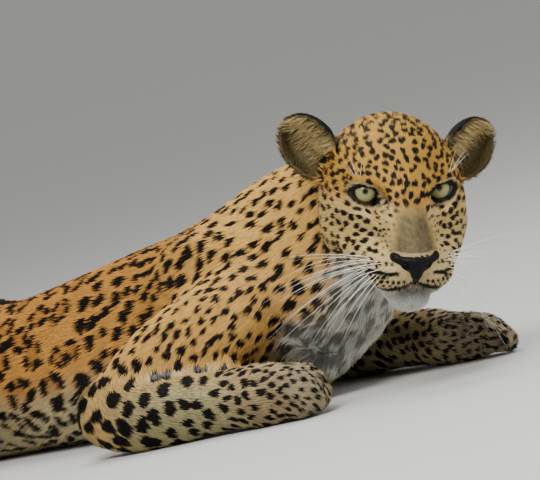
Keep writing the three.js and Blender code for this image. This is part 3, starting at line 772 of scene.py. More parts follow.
# Where each place of the skin belongs, and how its fur lies
parts = {"trunk": [trunk], "neck": [neck], "tail": [tail]}
for side in ("right", "left"):
    fore, hind = foreLegs[side], hindLegs[side]
    parts[f"upperArm {side}"] = [fore["upper"]]
    parts[f"forearm {side}"] = [fore["lower"]]
    parts[f"forepaw {side}"] = [fore["palm"], *fore["toes"]]
    parts[f"thigh {side}"] = [hind["upper"]]
    parts[f"shin {side}"] = [hind["lower"]]
    parts[f"foot {side}"] = [hind["foot"], hind["palm"], *hind["toes"]]
partNames = ["trunk", "neck", "tail", "upperArm", "forearm", "forepaw", "thigh", "shin", "foot", "head"]


def readParts(p):  # share of each part, and the lie of the fur, at every place
    near = np.full((len(p), len(parts) + 1), 1e9)
    lies = np.zeros((len(p), len(parts) + 1, 3))
    for k, runs in enumerate(parts.values()):
        for run in runs:
            close = np.nonzero(((p > run.low) & (p < run.up)).all(1))[0]
            if not len(close):
                continue
            d, lie = run(p[close], wantLie=True)
            nearer = d < near[close, k]
            near[close[nearer], k] = d[nearer]
            lies[close[nearer], k] = lie[nearer]
    h = toHead(p)
    close = np.nonzero((np.abs(h - (-20, 0, -30)) < (170, 160, 160)).all(1))[0]
    near[close, -1] = headShape(h[close], False)
    lies[close, -1] = unit(h[close] - (96, 0, -50)) @ headBasis.T
    share = np.exp(-np.clip(near - near.min(1, keepdims=True), 0, 200) / 9)
    lie = (share[:, :, None] * lies).sum(1) - (0, 0, 0.2)
    gathered = np.zeros((len(p), len(partNames)))
    for k, name in enumerate([*parts, "head"]):
        gathered[:, partNames.index(name.split()[0])] += share[:, k]
    return np.concatenate([gathered / gathered.sum(1, keepdims=True), unit(lie)], 1)


skinPlaces = readArray(skin.data.vertices, "co", 3, np.float32).astype(float) / mm
skinPlaces[:, 2] = np.maximum(skinPlaces[:, 2], 0.3)  # nothing under the floor
setPlaces(skin.data, skinPlaces)
skinNormals = readArray(skin.data.vertex_normals, "vector", 3, np.float32).astype(float)
read = inParts(readParts, skinPlaces)
skinShares, skinLie = read[:, :-3], read[:, -3:]
pairs = readArray(skin.data.edges, "vertices", 2)


def flatten(v, n):
    return unit(v - n * (v * n).sum(1, keepdims=True))


skinLie = flatten(skinLie, skinNormals)
for _ in range(8):  # evens the lie out between neighbours
    around = skinLie.copy()
    for k in range(3):
        around[:, k] += np.bincount(pairs[:, 0], skinLie[pairs[:, 1], k], len(skinLie))
        around[:, k] += np.bincount(pairs[:, 1], skinLie[pairs[:, 0], k], len(skinLie))
    skinLie = flatten(around, skinNormals)
print("lie of the coat read")

# Soft noise over places, the same on each run
rng = np.random.default_rng(7)
noiseTable = rng.random(4096)


def byChance(key):  # a number from 0 to 1 that belongs to a whole number
    return noiseTable[key & 4095]


def latticeValue(i, seed):
    return byChance((i[:, 0] * 73856093) ^ (i[:, 1] * 19349663) ^ (i[:, 2] * 83492791) ^ (seed * 2654435))


def softNoise(p, size, seed=0):
    q = p / size
    i = np.floor(q).astype(np.int64)
    f = q - i
    f = f * f * (3 - 2 * f)
    value = np.zeros(len(p))
    for c in range(8):
        step = np.array((c & 1, (c >> 1) & 1, c >> 2))
        value += np.prod(np.where(step, f, 1 - f), 1) * latticeValue(i + step, seed)
    return value


# Roots of the tufts, evenly over the skin
skin.data.calc_loop_triangles()
triangles = readArray(skin.data.loop_triangles, "vertices", 3)
triangleLoops = readArray(skin.data.loop_triangles, "loops", 3)
print("skin has", len(triangles), "triangles")


def earPlace(h, side):  # a head place in an ear's own frame
    return (h - earSet[side]["at"]) @ earTurn(side)


def earShares(p):  # how far a place is on an ear, and inside its cup
    h = toHead(p)
    onEar, inCup, up = np.zeros(len(p)), np.zeros(len(p)), np.zeros(len(p))
    close = np.nonzero(np.linalg.norm(mirrored(h) - (-70, 90, 30), axis=1) < 75)[0]
    if not len(close):
        return onEar, inCup, up
    clear = smoothStep(0.5, 5, headShape(h[close], False))
    for side in (-1, 1):
        q = earPlace(h[close], side)
        reach = np.linalg.norm(q / earCup["size"], axis=1)
        mine = (reach < 1.15) & (q[:, 0] < 8)
        onEar[close] = np.where(mine, clear, onEar[close])
        inCup[close] = np.where(mine, clear * smoothStep(0.975, 0.94, reach), inCup[close])
        up[close] = np.where(mine, q[:, 2], up[close])
    return onEar, inCup, up


tuftMake = {  # length, width and spacing in mm, and how steeply they stand
    "trunk": (12, 1.8, 2.05, 14),
    "neck": (11, 1.7, 1.85, 15),
    "tail": (12, 1.8, 2.05, 14),
    "upperArm": (9, 1.6, 1.8, 13),
    "forearm": (9.5, 1.5, 1.75, 16),
    "forepaw": (7, 1.3, 1.5, 17),
    "thigh": (12, 1.8, 2.05, 14),
    "shin": (9, 1.6, 1.9, 12),
    "foot": (7, 1.4, 1.7, 12),
    "head": (8, 1.35, 1.4, 13),
}
tuftTable = np.array([tuftMake[name] for name in partNames], float)
faceTuft = (4.2, 1.0, 1.2)  # length, width and spacing
earTuft = dict(inside=9, outside=4.5, spacing=1.5)
farRim = 60.0  # stands for any place well away from the lids


def rimAt(s):  # how far mirrored head places are from the lids' edge
    rim = np.full(len(s), farRim)
    close = np.nonzero(np.linalg.norm(s - eyeAt, axis=1) < 46)[0]
    rim[close] = lidOpening(s[close])
    return rim


headOf = toHead(skinPlaces)
faceShare = faceNearness(headOf) * skinShares[:, -1]
rimOf = rimAt(mirrored(headOf))
skinTuft = skinShares @ tuftTable
skinTuft[:, :3] += (faceTuft - skinTuft[:, :3]) * faceShare[:, None]
onEar, inCup, earUp = earShares(skinPlaces)
earLength = np.where(inCup > 0.5, earTuft["inside"], earTuft["outside"])
skinTuft[:, 0] = np.where(onEar > 0.5, earLength, skinTuft[:, 0])
skinTuft[:, 2] = np.where(onEar > 0.5, earTuft["spacing"], skinTuft[:, 2])


def scatter(spacing, chance):
    a, b, c = (skinPlaces[triangles[:, k]] for k in range(3))
    area = np.linalg.norm(np.cross(b - a, c - a), axis=1) / 2
    wanted = area / spacing[triangles].mean(1) ** 2
    count = np.floor(wanted + chance.random(len(wanted))).astype(int)
    which = np.repeat(np.arange(len(triangles)), count)
    u, v = chance.random(len(which)), chance.random(len(which))
    over = u + v > 1
    u[over], v[over] = 1 - u[over], 1 - v[over]
    return which, np.stack([1 - u - v, u, v], 1)


def atRoots(values, which, share):
    corners = values[triangles[which]]
    return (corners * share.reshape(len(which), 3, *[1] * (values.ndim - 1))).sum(1)


which, share = scatter(skinTuft[:, 2], rng)
print("tufts:", len(which))

root = atRoots(skinPlaces, which, share)
rootNormal = unit(atRoots(skinNormals, which, share))
rootLie = flatten(atRoots(skinLie, which, share), rootNormal)
rootShares = atRoots(skinShares, which, share)
rootTuft = atRoots(skinTuft, which, share)
rootFace = atRoots(faceShare, which, share)
rootEar, rootCup, rootUp = earShares(root)
rootHead = toHead(root)
rootMirrored = mirrored(rootHead)
rootRim = rimAt(rootMirrored)

# The markings: centres spread over the skin, each with its own size and lie
markings = {  # least spacing, half length, half width, whether it is a rosette
    "trunk": (42, 24, 20, 1),
    "neck": (14.5, 6.8, 4.6, 0),
    "tail": (25, 12, 10, 0),
    "upperArm": (12.5, 5.9, 3.9, 0),
    "forearm": (15.5, 8.4, 6.4, 0),
    "forepaw": (7.8, 3.8, 2.6, 0),
    "thigh": (27, 13, 10.5, 0),
    "shin": (14.5, 7.5, 5.5, 0),
    "foot": (8.8, 4.0, 2.9, 0),
    "head": (9.0, 4.9, 3.3, 0),
}
markTable = np.array([markings[name] for name in partNames], float)


def planMarks(p, shares, h, face):
    plan = shares @ markTable

    def shift(to, share):
        plan[:, :len(to)] += (np.array(to) - plan[:, :len(to)]) * share[:, None]

    foreArm = shares[:, partNames.index("forearm")]
    shift((18.5, 9, 7.4, 0), smoothStep(-230, -130, p[:, 0]) * shares[:, partNames.index("trunk")])
    shift((15.5, 7.4, 5.6, 0), smoothStep(-120, -10, p[:, 0]) * shares[:, partNames.index("trunk")])
    shift((24, 10, 14), smoothStep(60, -50, p[:, 0]) * foreArm)
    shift((11.5, 6.2, 4.0), smoothStep(80, 130, p[:, 0]) * foreArm)
    s = mirrored(h)
    crown = shares[:, -1] * smoothStep(5, 25, h[:, 2])
    shift((9.6, 6.0, 3.8), crown)
    shift((7.7, 4.6, 3.0), crown * smoothStep(-30, -5, h[:, 0]) * smoothStep(46, 34, h[:, 2]))
    shift((5.8, 2.0, 1.5), face * smoothStep(42, 30, s[:, 1]) * smoothStep(-8, -24, s[:, 2]))
    return plan


plan = planMarks(root, rootShares, rootHead, rootFace)
mostTries = 90000
sample = rng.permutation(len(root))[:mostTries]


def treeOf(places):
    tree = KDTree(len(places))
    for i, q in enumerate(places):
        tree.insert(q, i)
    tree.balance()
    return tree


tree = treeOf(root[sample])
taken = np.zeros(len(sample), bool)
centres = []
for i, k in enumerate(sample):
    if taken[i]:
        continue
    centres.append(k)
    for _, j, _ in tree.find_range(root[k], plan[k, 0] * (0.82 + 0.3 * byChance(k))):
        taken[j] = True
centres = np.array(centres)
print("markings:", len(centres))
markLie = rootLie[centres]
markAcross = np.cross(rootNormal[centres], markLie)
turn = (byChance(centres * 7)[:, None] - 0.5) * 0.7
markLie, markAcross = (markLie * np.cos(turn) + markAcross * np.sin(turn),
                       markAcross * np.cos(turn) - markLie * np.sin(turn))
markSize = plan[centres, 1:3] * (0.82 + 0.4 * byChance(centres * 13))[:, None]
markRing = plan[centres, 3] > 0.5
markPhase = np.stack([byChance(centres * m) * 2 * math.pi for m in (3, 5, 11)], 1)
lobePhase = byChance(centres * 17) * 2 * math.pi
markLobes = 3 + (byChance(centres * 19) * 2.99).astype(int)
markTree = treeOf(root[centres])
apart = np.array([markTree.find_n(q, 2)[1][2] for q in root[centres]])
markSize = np.minimum(markSize, apart[:, None] * np.where(markRing[:, None], (0.56, 0.52), (0.5, 0.52)))


def markAt(p, near=3):  # how black the coat is, and how far inside a rosette, from 0 to 1
    dark, inside, best = np.zeros(len(p)), np.zeros(len(p)), np.full(len(p), 9.0)
    found = np.array([[j for _, j, _ in markTree.find_n(q, near)] for q in p])
    for m in range(near):
        k = found[:, m]
        d = p - root[centres[k]]
        x = (d * markLie[k]).sum(1) / markSize[k, 0]
        y = (d * markAcross[k]).sum(1) / markSize[k, 1]
        angle = np.arctan2(y, x)
        ph = markPhase[k]
        wave = 1 + 0.13 * np.sin(2 * angle + ph[:, 0]) + 0.1 * np.sin(3 * angle + ph[:, 1])
        wave += 0.05 * np.sin(5 * angle + ph[:, 2])
        q = np.hypot(x, y) / wave
        lobe = smoothStep(-0.95, -0.6, np.sin(markLobes[k] * angle + lobePhase[k]))
        ring = smoothStep(0.3, 0.26, np.abs(q - 0.73) + 0.3 * (1 - lobe))
        spot = smoothStep(1.05, 0.97, q)
        nearer = q < best
        best[nearer] = q[nearer]
        dark = np.where(nearer, np.where(markRing[k], ring, spot), dark)
        inside = np.where(nearer, np.where(markRing[k], smoothStep(0.95, 0.6, q), 0), inside)
    return dark, inside


fur = dict(
    # the leg colour is the legs' paler coat with painted green reflected light from foliage
    gold=(0.62, 0.3, 0.066), deep=(0.52, 0.23, 0.042), sandy=(0.8, 0.47, 0.125), legPaleAndGreenLit=(0.46, 0.42, 0.22),
    cream=(0.68, 0.55, 0.3), white=(0.72, 0.7, 0.62), buff=(0.38, 0.35, 0.24), grey=(0.13, 0.13, 0.12),
    crown=(0.55, 0.31, 0.055), cheek=(0.78, 0.57, 0.22), bridge=(0.09, 0.072, 0.045),
    muzzle=(0.76, 0.56, 0.24), chin=(0.66, 0.66, 0.6), earInside=(0.1, 0.074, 0.028),
    earHair=(0.62, 0.46, 0.2), inRosette=(0.44, 0.185, 0.036), black=(0.01, 0.008, 0.007),
)


def frontShare(p, n, shares, h):  # the white of the throat and chest, along the middle
    middle = -62 * np.clip((p[:, 0] - 60) / 278, 0, 1)
    low = smoothStep(120, 80, p[:, 2])
    beside = smoothStep(46, 26, np.abs(p[:, 1] - middle) - 34 * low)
    ahead = smoothStep(0.5, 0.8, n[:, 0]) * smoothStep(170, 130, p[:, 2])
    aim = np.maximum(np.maximum(smoothStep(0.15, 0.6, -n[:, 2]), ahead), low)
    where = shares[:, 0] + shares[:, 1] + shares[:, 3] + shares[:, -1] * smoothStep(-92, -106, h[:, 2])
    return beside * aim * where * smoothStep(90, 130, p[:, 0])


def mixed(colour, other, share):
    return colour + (np.array(other) - colour) * share[:, None]


whiskerRows = (  # height, first and last place to the side, half width, how broken
    (-66.5, 25, 50, 2.0, -0.2), (-71.5, 37, 52, 1.7, 0.1), (-76.8, 19, 52, 2.2, -1.3),
    (-81.5, 31, 52, 2.0, -0.8), (-86, 11, 50, 2.0, -0.5), (-91, 20, 44, 1.5, 0.0),
)


def coatColour(p, n, shares, h, rim, earOn, cup, earUp, dark, inside):
    s = mirrored(h)
    x, y, z = s.T
    part = {name: shares[:, k] for k, name in enumerate(partNames)}
    colour = np.tile(np.array(fur["gold"]), (len(p), 1))
    up = n[:, 2]
    ridge = smoothStep(0.4, 0.95, up) * (part["trunk"] + part["neck"])
    colour = mixed(colour, fur["deep"], 0.7 * ridge)
    below = smoothStep(0.1, -0.55, up) * (part["trunk"] + part["neck"] + part["tail"] + part["thigh"])
    colour = mixed(colour, fur["cream"], below)
    lowSide = smoothStep(90, 20, p[:, 2]) * part["trunk"]
    colour = mixed(colour, fur["cream"], 0.6 * lowSide)
    # the legs' paler coat, tinted green as painted reflected light from foliage, with less of it on faces
    # turned up
    legs = part["forearm"] * (0.95 - 0.3 * smoothStep(0.3, 0.9, up))
    legs = legs + 0.5 * part["shin"] + part["upperArm"] * 0.1
    colour = mixed(colour, fur["legPaleAndGreenLit"], np.clip(legs, 0, 1))
    colour = mixed(colour, fur["buff"], 0.82 * (part["forepaw"] + part["foot"]))
    inner = smoothStep(70, 40, np.abs(p[:, 1])) * (part["forearm"] + part["upperArm"])
    colour = mixed(colour, fur["white"], 0.5 * inner)
    colour = mixed(colour, fur["sandy"], (1 - 0.8 * below) * (0.85 * part["neck"] + 0.7 * part["upperArm"]))
    front = frontShare(p, n, shares, h)
    colour = mixed(colour, fur["chin"], 0.9 * front)
    # painted shade: the pale throat and chest are turned grey where they face up
    colour = mixed(colour, fur["grey"], 0.75 * front * smoothStep(-0.3, 0.3, up))
    # head
    onHead = part["head"] * smoothStep(-110, -60, h[:, 0])
    colour = mixed(colour, fur["crown"], onHead * smoothStep(-20, 20, z))
    onCheek = onHead * smoothStep(0, -20, z) * smoothStep(-80, -40, x)
    colour = mixed(colour, fur["cheek"], 0.85 * onCheek)
    besideNose = onHead * smoothStep(-6, 30, x - 0.15 * y) * smoothStep(-24, -62, z)
    colour = mixed(colour, fur["muzzle"], besideNose)
    lowCheek = onHead * smoothStep(-52, -84, z) * smoothStep(-60, 10, x)
    colour = mixed(colour, fur["cream"], 0.6 * lowCheek)
    bridgeWide = 15 + 0.23 * np.clip(-z - 10, 0, 50)
    onBridge = onHead * smoothStep(5, -6, y - bridgeWide) * smoothStep(2, -20, z)
    onBridge *= smoothStep(-56, -51, z) * smoothStep(-10, 8, x)
    mottle = 0.78 + 0.22 * softNoise(p, 3.5, 12)
    colour = mixed(colour, fur["bridge"], 0.95 * mottle * onBridge)
    overNose = onHead * smoothStep(24, 19, y) * smoothStep(-51, -53, z) * smoothStep(-62, -57, z)
    colour = mixed(colour, fur["cream"], 0.8 * overNose)
    chin = onHead * smoothStep(-97, -106, z)
    colour = mixed(colour, fur["chin"], chin)
    underMouth = onHead * smoothStep(30, 12, y) * smoothStep(-92, -95, z)
    underMouth *= smoothStep(-118, -102, z)
    colour = mixed(colour, fur["grey"], 0.85 * underMouth * (0.6 + 0.8 * softNoise(p, 6, 14)).clip(0, 1))
    aboveEye = onHead * smoothStep(2.4, 3.2, rim) * smoothStep(7, 5, rim) * smoothStep(-12, -4, z)
    belowEye = onHead * smoothStep(2.4, 3.2, rim) * smoothStep(7.5, 5.4, rim) * smoothStep(0, -6, z)
    colour = mixed(colour, fur["cream"], 0.85 * np.maximum(aboveEye, belowEye))
    streak = onHead * smoothStep(5, 2.5, np.abs(y - 25 + 0.08 * (z + 20)))
    streak *= smoothStep(-32, -20, z) * smoothStep(2, -8, z)
    colour = mixed(colour, fur["cream"], 0.55 * streak)
    colour = mixed(colour, fur["inRosette"], 0.75 * inside * (1 - np.clip(below + 1.2 * lowSide, 0, 1)))
    # black
    pale = 1.5 * onBridge * smoothStep(0, -14, z) + 0.9 * chin + 0.6 * aboveEye + 0.8 * belowEye
    pale = np.clip(pale + 0.35 * front, 0, 1)
    onPad = onHead * smoothStep(28, 38, x) * smoothStep(-58, -62, z) * smoothStep(-100, -93, z)
    black = dark * (1 - pale) * (1 - onPad)
    rows = np.zeros(len(p))
    for level, first, last, half, gaps in whiskerRows:
        line = np.abs(z - level - 0.12 * np.clip(y - 40, 0, None) - 0.5 * np.sin(y * 0.4 + level))
        dash = np.sin(y * 1.05 + 1.9 * level)
        run = smoothStep(half + 0.4, half - 0.3, line) * smoothStep(gaps - 0.2, gaps + 0.2, dash)
        run *= smoothStep(first - 1, first + 1, y) * smoothStep(last + 2, last - 1, y)
        rows = np.maximum(rows, run)
    black = np.maximum(black, rows * onPad)
    eyeRim = onHead * smoothStep(2.7, 2.0, rim)
    tearFrom, tearWay = (8.5, 28.8, -7.5), np.array((6.5, -3.8, -11.5))
    along = np.clip((s - tearFrom) @ tearWay / (tearWay @ tearWay), 0, 1)
    toTear = np.linalg.norm(s - tearFrom - along[:, None] * tearWay, axis=1)
    tear = onHead * smoothStep(0.5, -0.5, toTear - 5.2 + 3.4 * along)
    black = np.maximum(black, np.maximum(eyeRim, tear))
    lip = onHead * smoothStep(3.4, 2.0, np.minimum(mouthLine(s), lipCleft(s)))
    # the black corner of the lips, widened into a patchy dark patch by painted shade under the whisker pad
    mouthCornerAndShade = onHead * smoothStep(13, 9, np.linalg.norm((s - lips[0] - (4, 0, 3)) * (0.5, 1, 1.1), axis=1))
    patchy = 0.5 + 0.5 * np.sin(x * 0.5 + 2 * np.sin(z * 0.33))
    black = np.maximum(black, np.maximum(lip, mouthCornerAndShade * smoothStep(0.25, 0.45, patchy)))
    colour = mixed(colour, fur["black"], np.clip(black, 0, 1))
    # ears: black behind with a pale patch, pale hair inside a dark cup
    back = earOn * (1 - cup)
    colour = mixed(colour, fur["black"], back * smoothStep(-26, -12, earUp))
    behind = smoothStep(-92, -97, x) * smoothStep(16, 9, np.abs(earUp - 4))
    colour = mixed(colour, fur["cream"], back * behind)
    colour = mixed(colour, fur["earInside"], earOn * cup)
    return colour


chance = np.random.default_rng(21)
count = len(root)
crease = 4 * rootShares[:, partNames.index("upperArm")] * rootShares[:, partNames.index("forearm")]
crease *= smoothStep(56, 72, root[:, 2]) * smoothStep(-60, 10, root[:, 0]) * (root[:, 1] < 0)
crease = smoothStep(0.93, 1.0, crease) * smoothStep(0.2, 0.5, softNoise(root, 12, 8))
rootTuft[:, 0] += 2 * crease
rootFront = frontShare(root, rootNormal, rootShares, rootHead)
rootFront *= 1 - rootShares[:, partNames.index("upperArm")]
rootTuft[:, 0] += 5 * rootFront
rootTuft[:, 3] += 5 * rootFront
length = rootTuft[:, 0] * (0.82 + 0.36 * chance.random(count))
width = rootTuft[:, 1] * (0.8 + 0.4 * chance.random(count))
lift = np.radians(rootTuft[:, 3] + 9 * (chance.random(count) - 0.35))
swirl = np.radians(24 * (softNoise(root, 22, 3) - 0.5) + 14 * (chance.random(count) - 0.5))
across = np.cross(rootNormal, rootLie)
way = rootLie * np.cos(swirl)[:, None] + across * np.sin(swirl)[:, None]
inside = rootCup > 0.5
lift[inside] = np.radians(28 + 20 * chance.random(inside.sum()))
across = np.cross(rootNormal, way)
seen = root + way * (0.65 * length * np.cos(lift))[:, None]
dark, inRing = markAt(seen)
colour = coatColour(seen, rootNormal, rootShares, toHead(seen), rootRim, rootEar, rootCup, rootUp,
                    dark, inRing)
colour = mixed(colour, fur["white"], 0.26 * crease)
tone = (0.8 + 0.4 * chance.random(count)) * (0.9 + 0.2 * softNoise(root, 9, 5))
tone *= 0.93 + 0.14 * softNoise(root, 60, 9)
colour = np.clip(colour * tone[:, None], 0.004, 0.9)
# no tufts in the eyes' openings, under the nose or on the lips' black line
keep = (rootRim > 0.4) & ~((noseField(rootHead) < 0.3) & (rootFace > 0.1))
keep &= ~((rootShares[:, -1] > 0.5) & (np.minimum(mouthLine(rootMirrored), lipCleft(rootMirrored)) < 1.0))
print("markings painted")

# The coat: every tuft a thin closed spike of four faces, leaning along the lie of the fur
hairMap = dict(half=0.0015, edge=0.0005)  # a tuft's patch on the map, and the map's margin
floorGap = 0.25  # least height of a tuft's points
tuftsPerPiece = 48000


def unwrapSkin():
    bpy.context.view_layer.objects.active = skin
    skin.select_set(True)
    bpy.ops.object.mode_set(mode="EDIT")
    bpy.ops.mesh.select_all(action="SELECT")
    bpy.ops.uv.smart_project(angle_limit=math.radians(66), island_margin=0.002)
    bpy.ops.object.mode_set(mode="OBJECT")
    skin.data.uv_layers.active.name = "OFBake"
    return readArray(skin.data.uv_layers["OFBake"].data, "uv", 2, np.float32)


skinFlat = unwrapSkin()
rootFlat = (skinFlat[triangleLoops[which]] * share[:, :, None]).sum(1)
print("skin unwrapped")

# Skin colours, from the same markings
skinDark, skinInside = markAt(skinPlaces)
skinColour = coatColour(skinPlaces, skinNormals, skinShares, headOf, rimOf, onEar, inCup, earUp,
                        skinDark, skinInside) * 0.8
vertexAttribute(skin.data, "furColour", "FLOAT_COLOR",
                np.concatenate([skinColour, np.ones((len(skinColour), 1))], 1))


def newMaterial(name, roughness, specular=0.5):
    material = bpy.data.materials.new(name)
    material.use_nodes = True
    shader = material.node_tree.nodes["Principled BSDF"]
    shader.inputs["Roughness"].default_value = roughness
    shader.inputs["Specular IOR Level"].default_value = specular
    return material, shader, material.node_tree.nodes, material.node_tree.links


def rangeNode(nodes, fromMin, fromMax, toMin, toMax):
    node = nodes.new("ShaderNodeMapRange")
    node.inputs["From Min"].default_value = fromMin
    node.inputs["From Max"].default_value = fromMax
    node.inputs["To Min"].default_value = toMin
    node.inputs["To Max"].default_value = toMax
    return node


def multiplyNode(nodes):
    node = nodes.new("ShaderNodeMix")
    node.data_type = "RGBA"
    node.blend_type = "MULTIPLY"
    return node


def furTone():  # shared: streaks of light and dark in fur colour
    group = bpy.data.node_groups.new("furTone", "ShaderNodeTree")
    for name, kind, way in (("Colour", "NodeSocketColor", "INPUT"), ("Size", "NodeSocketFloat", "INPUT"),
                            ("Amount", "NodeSocketFloat", "INPUT"), ("Colour", "NodeSocketColor", "OUTPUT"),
                            ("Height", "NodeSocketFloat", "OUTPUT")):
        group.interface.new_socket(name=name, in_out=way, socket_type=kind)
    nodes, links = group.nodes, group.links
    given, out = nodes.new("NodeGroupInput"), nodes.new("NodeGroupOutput")
    where = nodes.new("ShaderNodeTexCoord")
    noise = nodes.new("ShaderNodeTexNoise")
    noise.inputs["Detail"].default_value = 3
    links.new(where.outputs["Object"], noise.inputs["Vector"])
    links.new(given.outputs["Size"], noise.inputs["Scale"])
    spread = rangeNode(nodes, 0.25, 0.75, 0.7, 1.15)
    links.new(noise.outputs["Fac"], spread.inputs["Value"])
    shade = multiplyNode(nodes)
    links.new(given.outputs["Amount"], shade.inputs["Factor"])
    links.new(given.outputs["Colour"], shade.inputs["A"])
    links.new(spread.outputs["Result"], shade.inputs["B"])
    links.new(shade.outputs["Result"], out.inputs["Colour"])
    links.new(noise.outputs["Fac"], out.inputs["Height"])
    return group


furToneGroup = furTone()


def furMaterial(name, size, amount, bump, roughness):
    material, shader, nodes, links = newMaterial(name, roughness, 0.12)
    colours = nodes.new("ShaderNodeAttribute")
    colours.attribute_name = "furColour"
    tone = nodes.new("ShaderNodeGroup")
    tone.node_tree = furToneGroup
    tone.inputs["Size"].default_value = size
    tone.inputs["Amount"].default_value = amount
    links.new(colours.outputs["Color"], tone.inputs["Colour"])
    links.new(tone.outputs["Colour"], shader.inputs["Base Color"])
    if bump:
        raised = nodes.new("ShaderNodeBump")
        raised.inputs["Strength"].default_value = bump
        raised.inputs["Distance"].default_value = 0.0006
        links.new(tone.outputs["Height"], raised.inputs["Height"])
        links.new(raised.outputs["Normal"], shader.inputs["Normal"])
    return material


skin.data.materials.clear()
skin.data.materials.append(furMaterial("hide", 900, 0.8, 0.6, 0.7))
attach(skin, "root")
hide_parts(*fleshNodes, "ear_right", "ear_left")
coatFur = furMaterial("coatFur", 500, 0.5, 0, 0.55)


def hairMesh(name, places, corners, patch, flat, tones, shade=None):  # many hairs of the same few corners
    n, points = places.shape[:2]
    places[:, :, 2] = np.maximum(places[:, :, 2], floorGap)
    faces = (np.arange(n)[:, None, None] * points + np.array(corners)).reshape(-1)
    mesh = bpy.data.meshes.new(name)
    mesh.vertices.add(n * points)
    mesh.vertices.foreach_set("co", (places * mm).astype(np.float32).ravel())
    mesh.loops.add(len(faces))
    mesh.loops.foreach_set("vertex_index", faces.astype(np.int32))
    mesh.polygons.add(len(faces) // 3)
    mesh.polygons.foreach_set("loop_start", np.arange(0, len(faces), 3, dtype=np.int32))
    mesh.update(calc_edges=True)
    if shade is None:
        mesh.shade_smooth()
    else:
        mesh.normals_split_custom_set_from_vertices(unit(shade).reshape(-1, 3).astype(np.float32))
    vertexAttribute(mesh, "furColour", "FLOAT_COLOR", np.concatenate([tones, np.ones((n, points, 1))], 2))
    layer = mesh.uv_layers.new(name="OFBake")
    spots = flat[:, None, :] + np.array(patch) * hairMap["half"]
    spots = np.clip(spots, hairMap["edge"], 1 - hairMap["edge"])
    layer.data.foreach_set("uv", spots.reshape(-1, 2)[faces].astype(np.float32).ravel())
    mesh.materials.append(coatFur)
    return meshObject(name, mesh)


def tuftPiece(name, pick):
    base, nor, out, side = root[pick], rootNormal[pick], way[pick], across[pick]
    wide, long, rise = width[pick, None] / 2, length[pick, None], lift[pick, None]
    foot = base - nor * 0.7
    tip = base + out * (long * np.cos(rise)) + nor * (long * np.sin(rise))
    places = np.stack([foot + side * wide, foot - side * wide, foot + nor * wide * 1.3 + nor * 0.5, tip], 1)
    shade = np.stack([nor + 0.55 * side, nor - 0.55 * side, nor + 0.1 * out, nor + 0.25 * out], 1)
    # each tuft is darker towards its root as painted shade among the hairs, and brighter at its tip as
    # painted light
    shadedRootTone, litTipTone = colour[pick] * 0.62, np.minimum(colour[pick] * 1.12, 0.95)
    tones = np.stack([shadedRootTone, shadedRootTone, colour[pick] * 0.8, litTipTone], 1)
    made = hairMesh(name, places, [[0, 2, 3], [1, 3, 2], [0, 3, 1], [0, 1, 2]],
                    [(-1, -1), (1, -1), (0, -0.2), (0, 1)], rootFlat[pick], tones, shade)
    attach(made, "root")


def coatPieces():
    kept = np.nonzero(keep)[0]
    kept = kept[np.argsort(root[kept, 0], kind="stable")]
    pieces = math.ceil(len(kept) / tuftsPerPiece)
    for k, pick in enumerate(np.array_split(kept, pieces)):
        tuftPiece(f"coat_{k + 1}", pick)
    print("coat:", len(kept), "tufts in", pieces, "pieces")


coatPieces()


def longHair(name, base, nor, out, long, wide, droop, tone, flat):  # locks with a bend at the middle
    side = unit(np.cross(nor, out))
    middle = base + out * long[:, None] * 0.55 + nor * long[:, None] * 0.1
    tip = base + out * long[:, None] - nor * droop[:, None]
    w = wide[:, None] / 2
    places = np.stack([base + side * w, base - side * w, base + nor * w, middle + side * w * 0.8,
                       middle - side * w * 0.8, middle + nor * w * 0.9, tip], 1)
    corners = [[0, 1, 2], [0, 3, 4], [0, 4, 1], [0, 2, 5], [0, 5, 3], [1, 4, 5], [1, 5, 2],
               [3, 5, 6], [5, 4, 6], [4, 3, 6]]
    # darker at the root as painted shade among the hairs, paler at the tip as painted light
    shares = np.array([0.6, 0.6, 0.7, 0.9, 0.9, 1, 1.15])[None, :, None]  # paler from the root to the tip
    made = hairMesh(name, places, corners, [(-1, -1), (1, -1), (0, -0.8), (1, 0), (-1, 0), (0, 0), (0, 1)],
                    flat, np.clip(tone[:, None, :] * shares, 0, 0.95))
    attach(made, "root")


def earHairs():
    dice = np.random.default_rng(31)
    picks, ways, longs = [], [], []
    for side in (-1, 1):
        q = earPlace(rootHead, side)
        near = np.nonzero((rootEar > 0.4) & (np.linalg.norm(q / earCup["size"], axis=1) < 1.1)
                          & (rootCup > 0.3) & (-side * q[:, 1] > 8 - 16 * dice.random(len(q))))[0]
        lean = np.stack([0.55 + 0.3 * dice.random(len(near)), side * (0.75 + 0.4 * dice.random(len(near))),
                         0.7 * (dice.random(len(near)) - 0.35)], 1)
        picks.append(near)
        ways.append(unit(lean) @ earTurn(side).T @ headBasis.T)
        longs.append(9 + 15 * dice.random(len(near)))
    pick, out, long = np.concatenate(picks), np.concatenate(ways), np.concatenate(longs)
    tone = np.array(fur["earHair"]) * (0.55 + 0.55 * dice.random(len(pick)))[:, None]
    wide, droop = np.full(len(pick), 0.55), 1 + 3 * dice.random(len(pick))
    longHair("earHair", root[pick], rootNormal[pick], out, long, wide, droop, tone, rootFlat[pick])
    print("ear hair:", len(pick), "locks")


earHairs()

# Eyes
eyeLook = dict(
    facets=(64, 40), bulge=0.055, cornea=44,
    rings=[  # degrees off the gaze and the colour there: pupil, iris and the dark edge round it
        (0, (0.004, 0.004, 0.004)), (9, (0.004, 0.004, 0.004)), (10.4, (0.15, 0.15, 0.05)),
        (20, (0.29, 0.29, 0.115)), (39, (0.22, 0.23, 0.085)), (43.5, (0.09, 0.09, 0.03)),
        (46, (0.006, 0.005, 0.004)), (90, (0.005, 0.004, 0.004)),
    ],
)


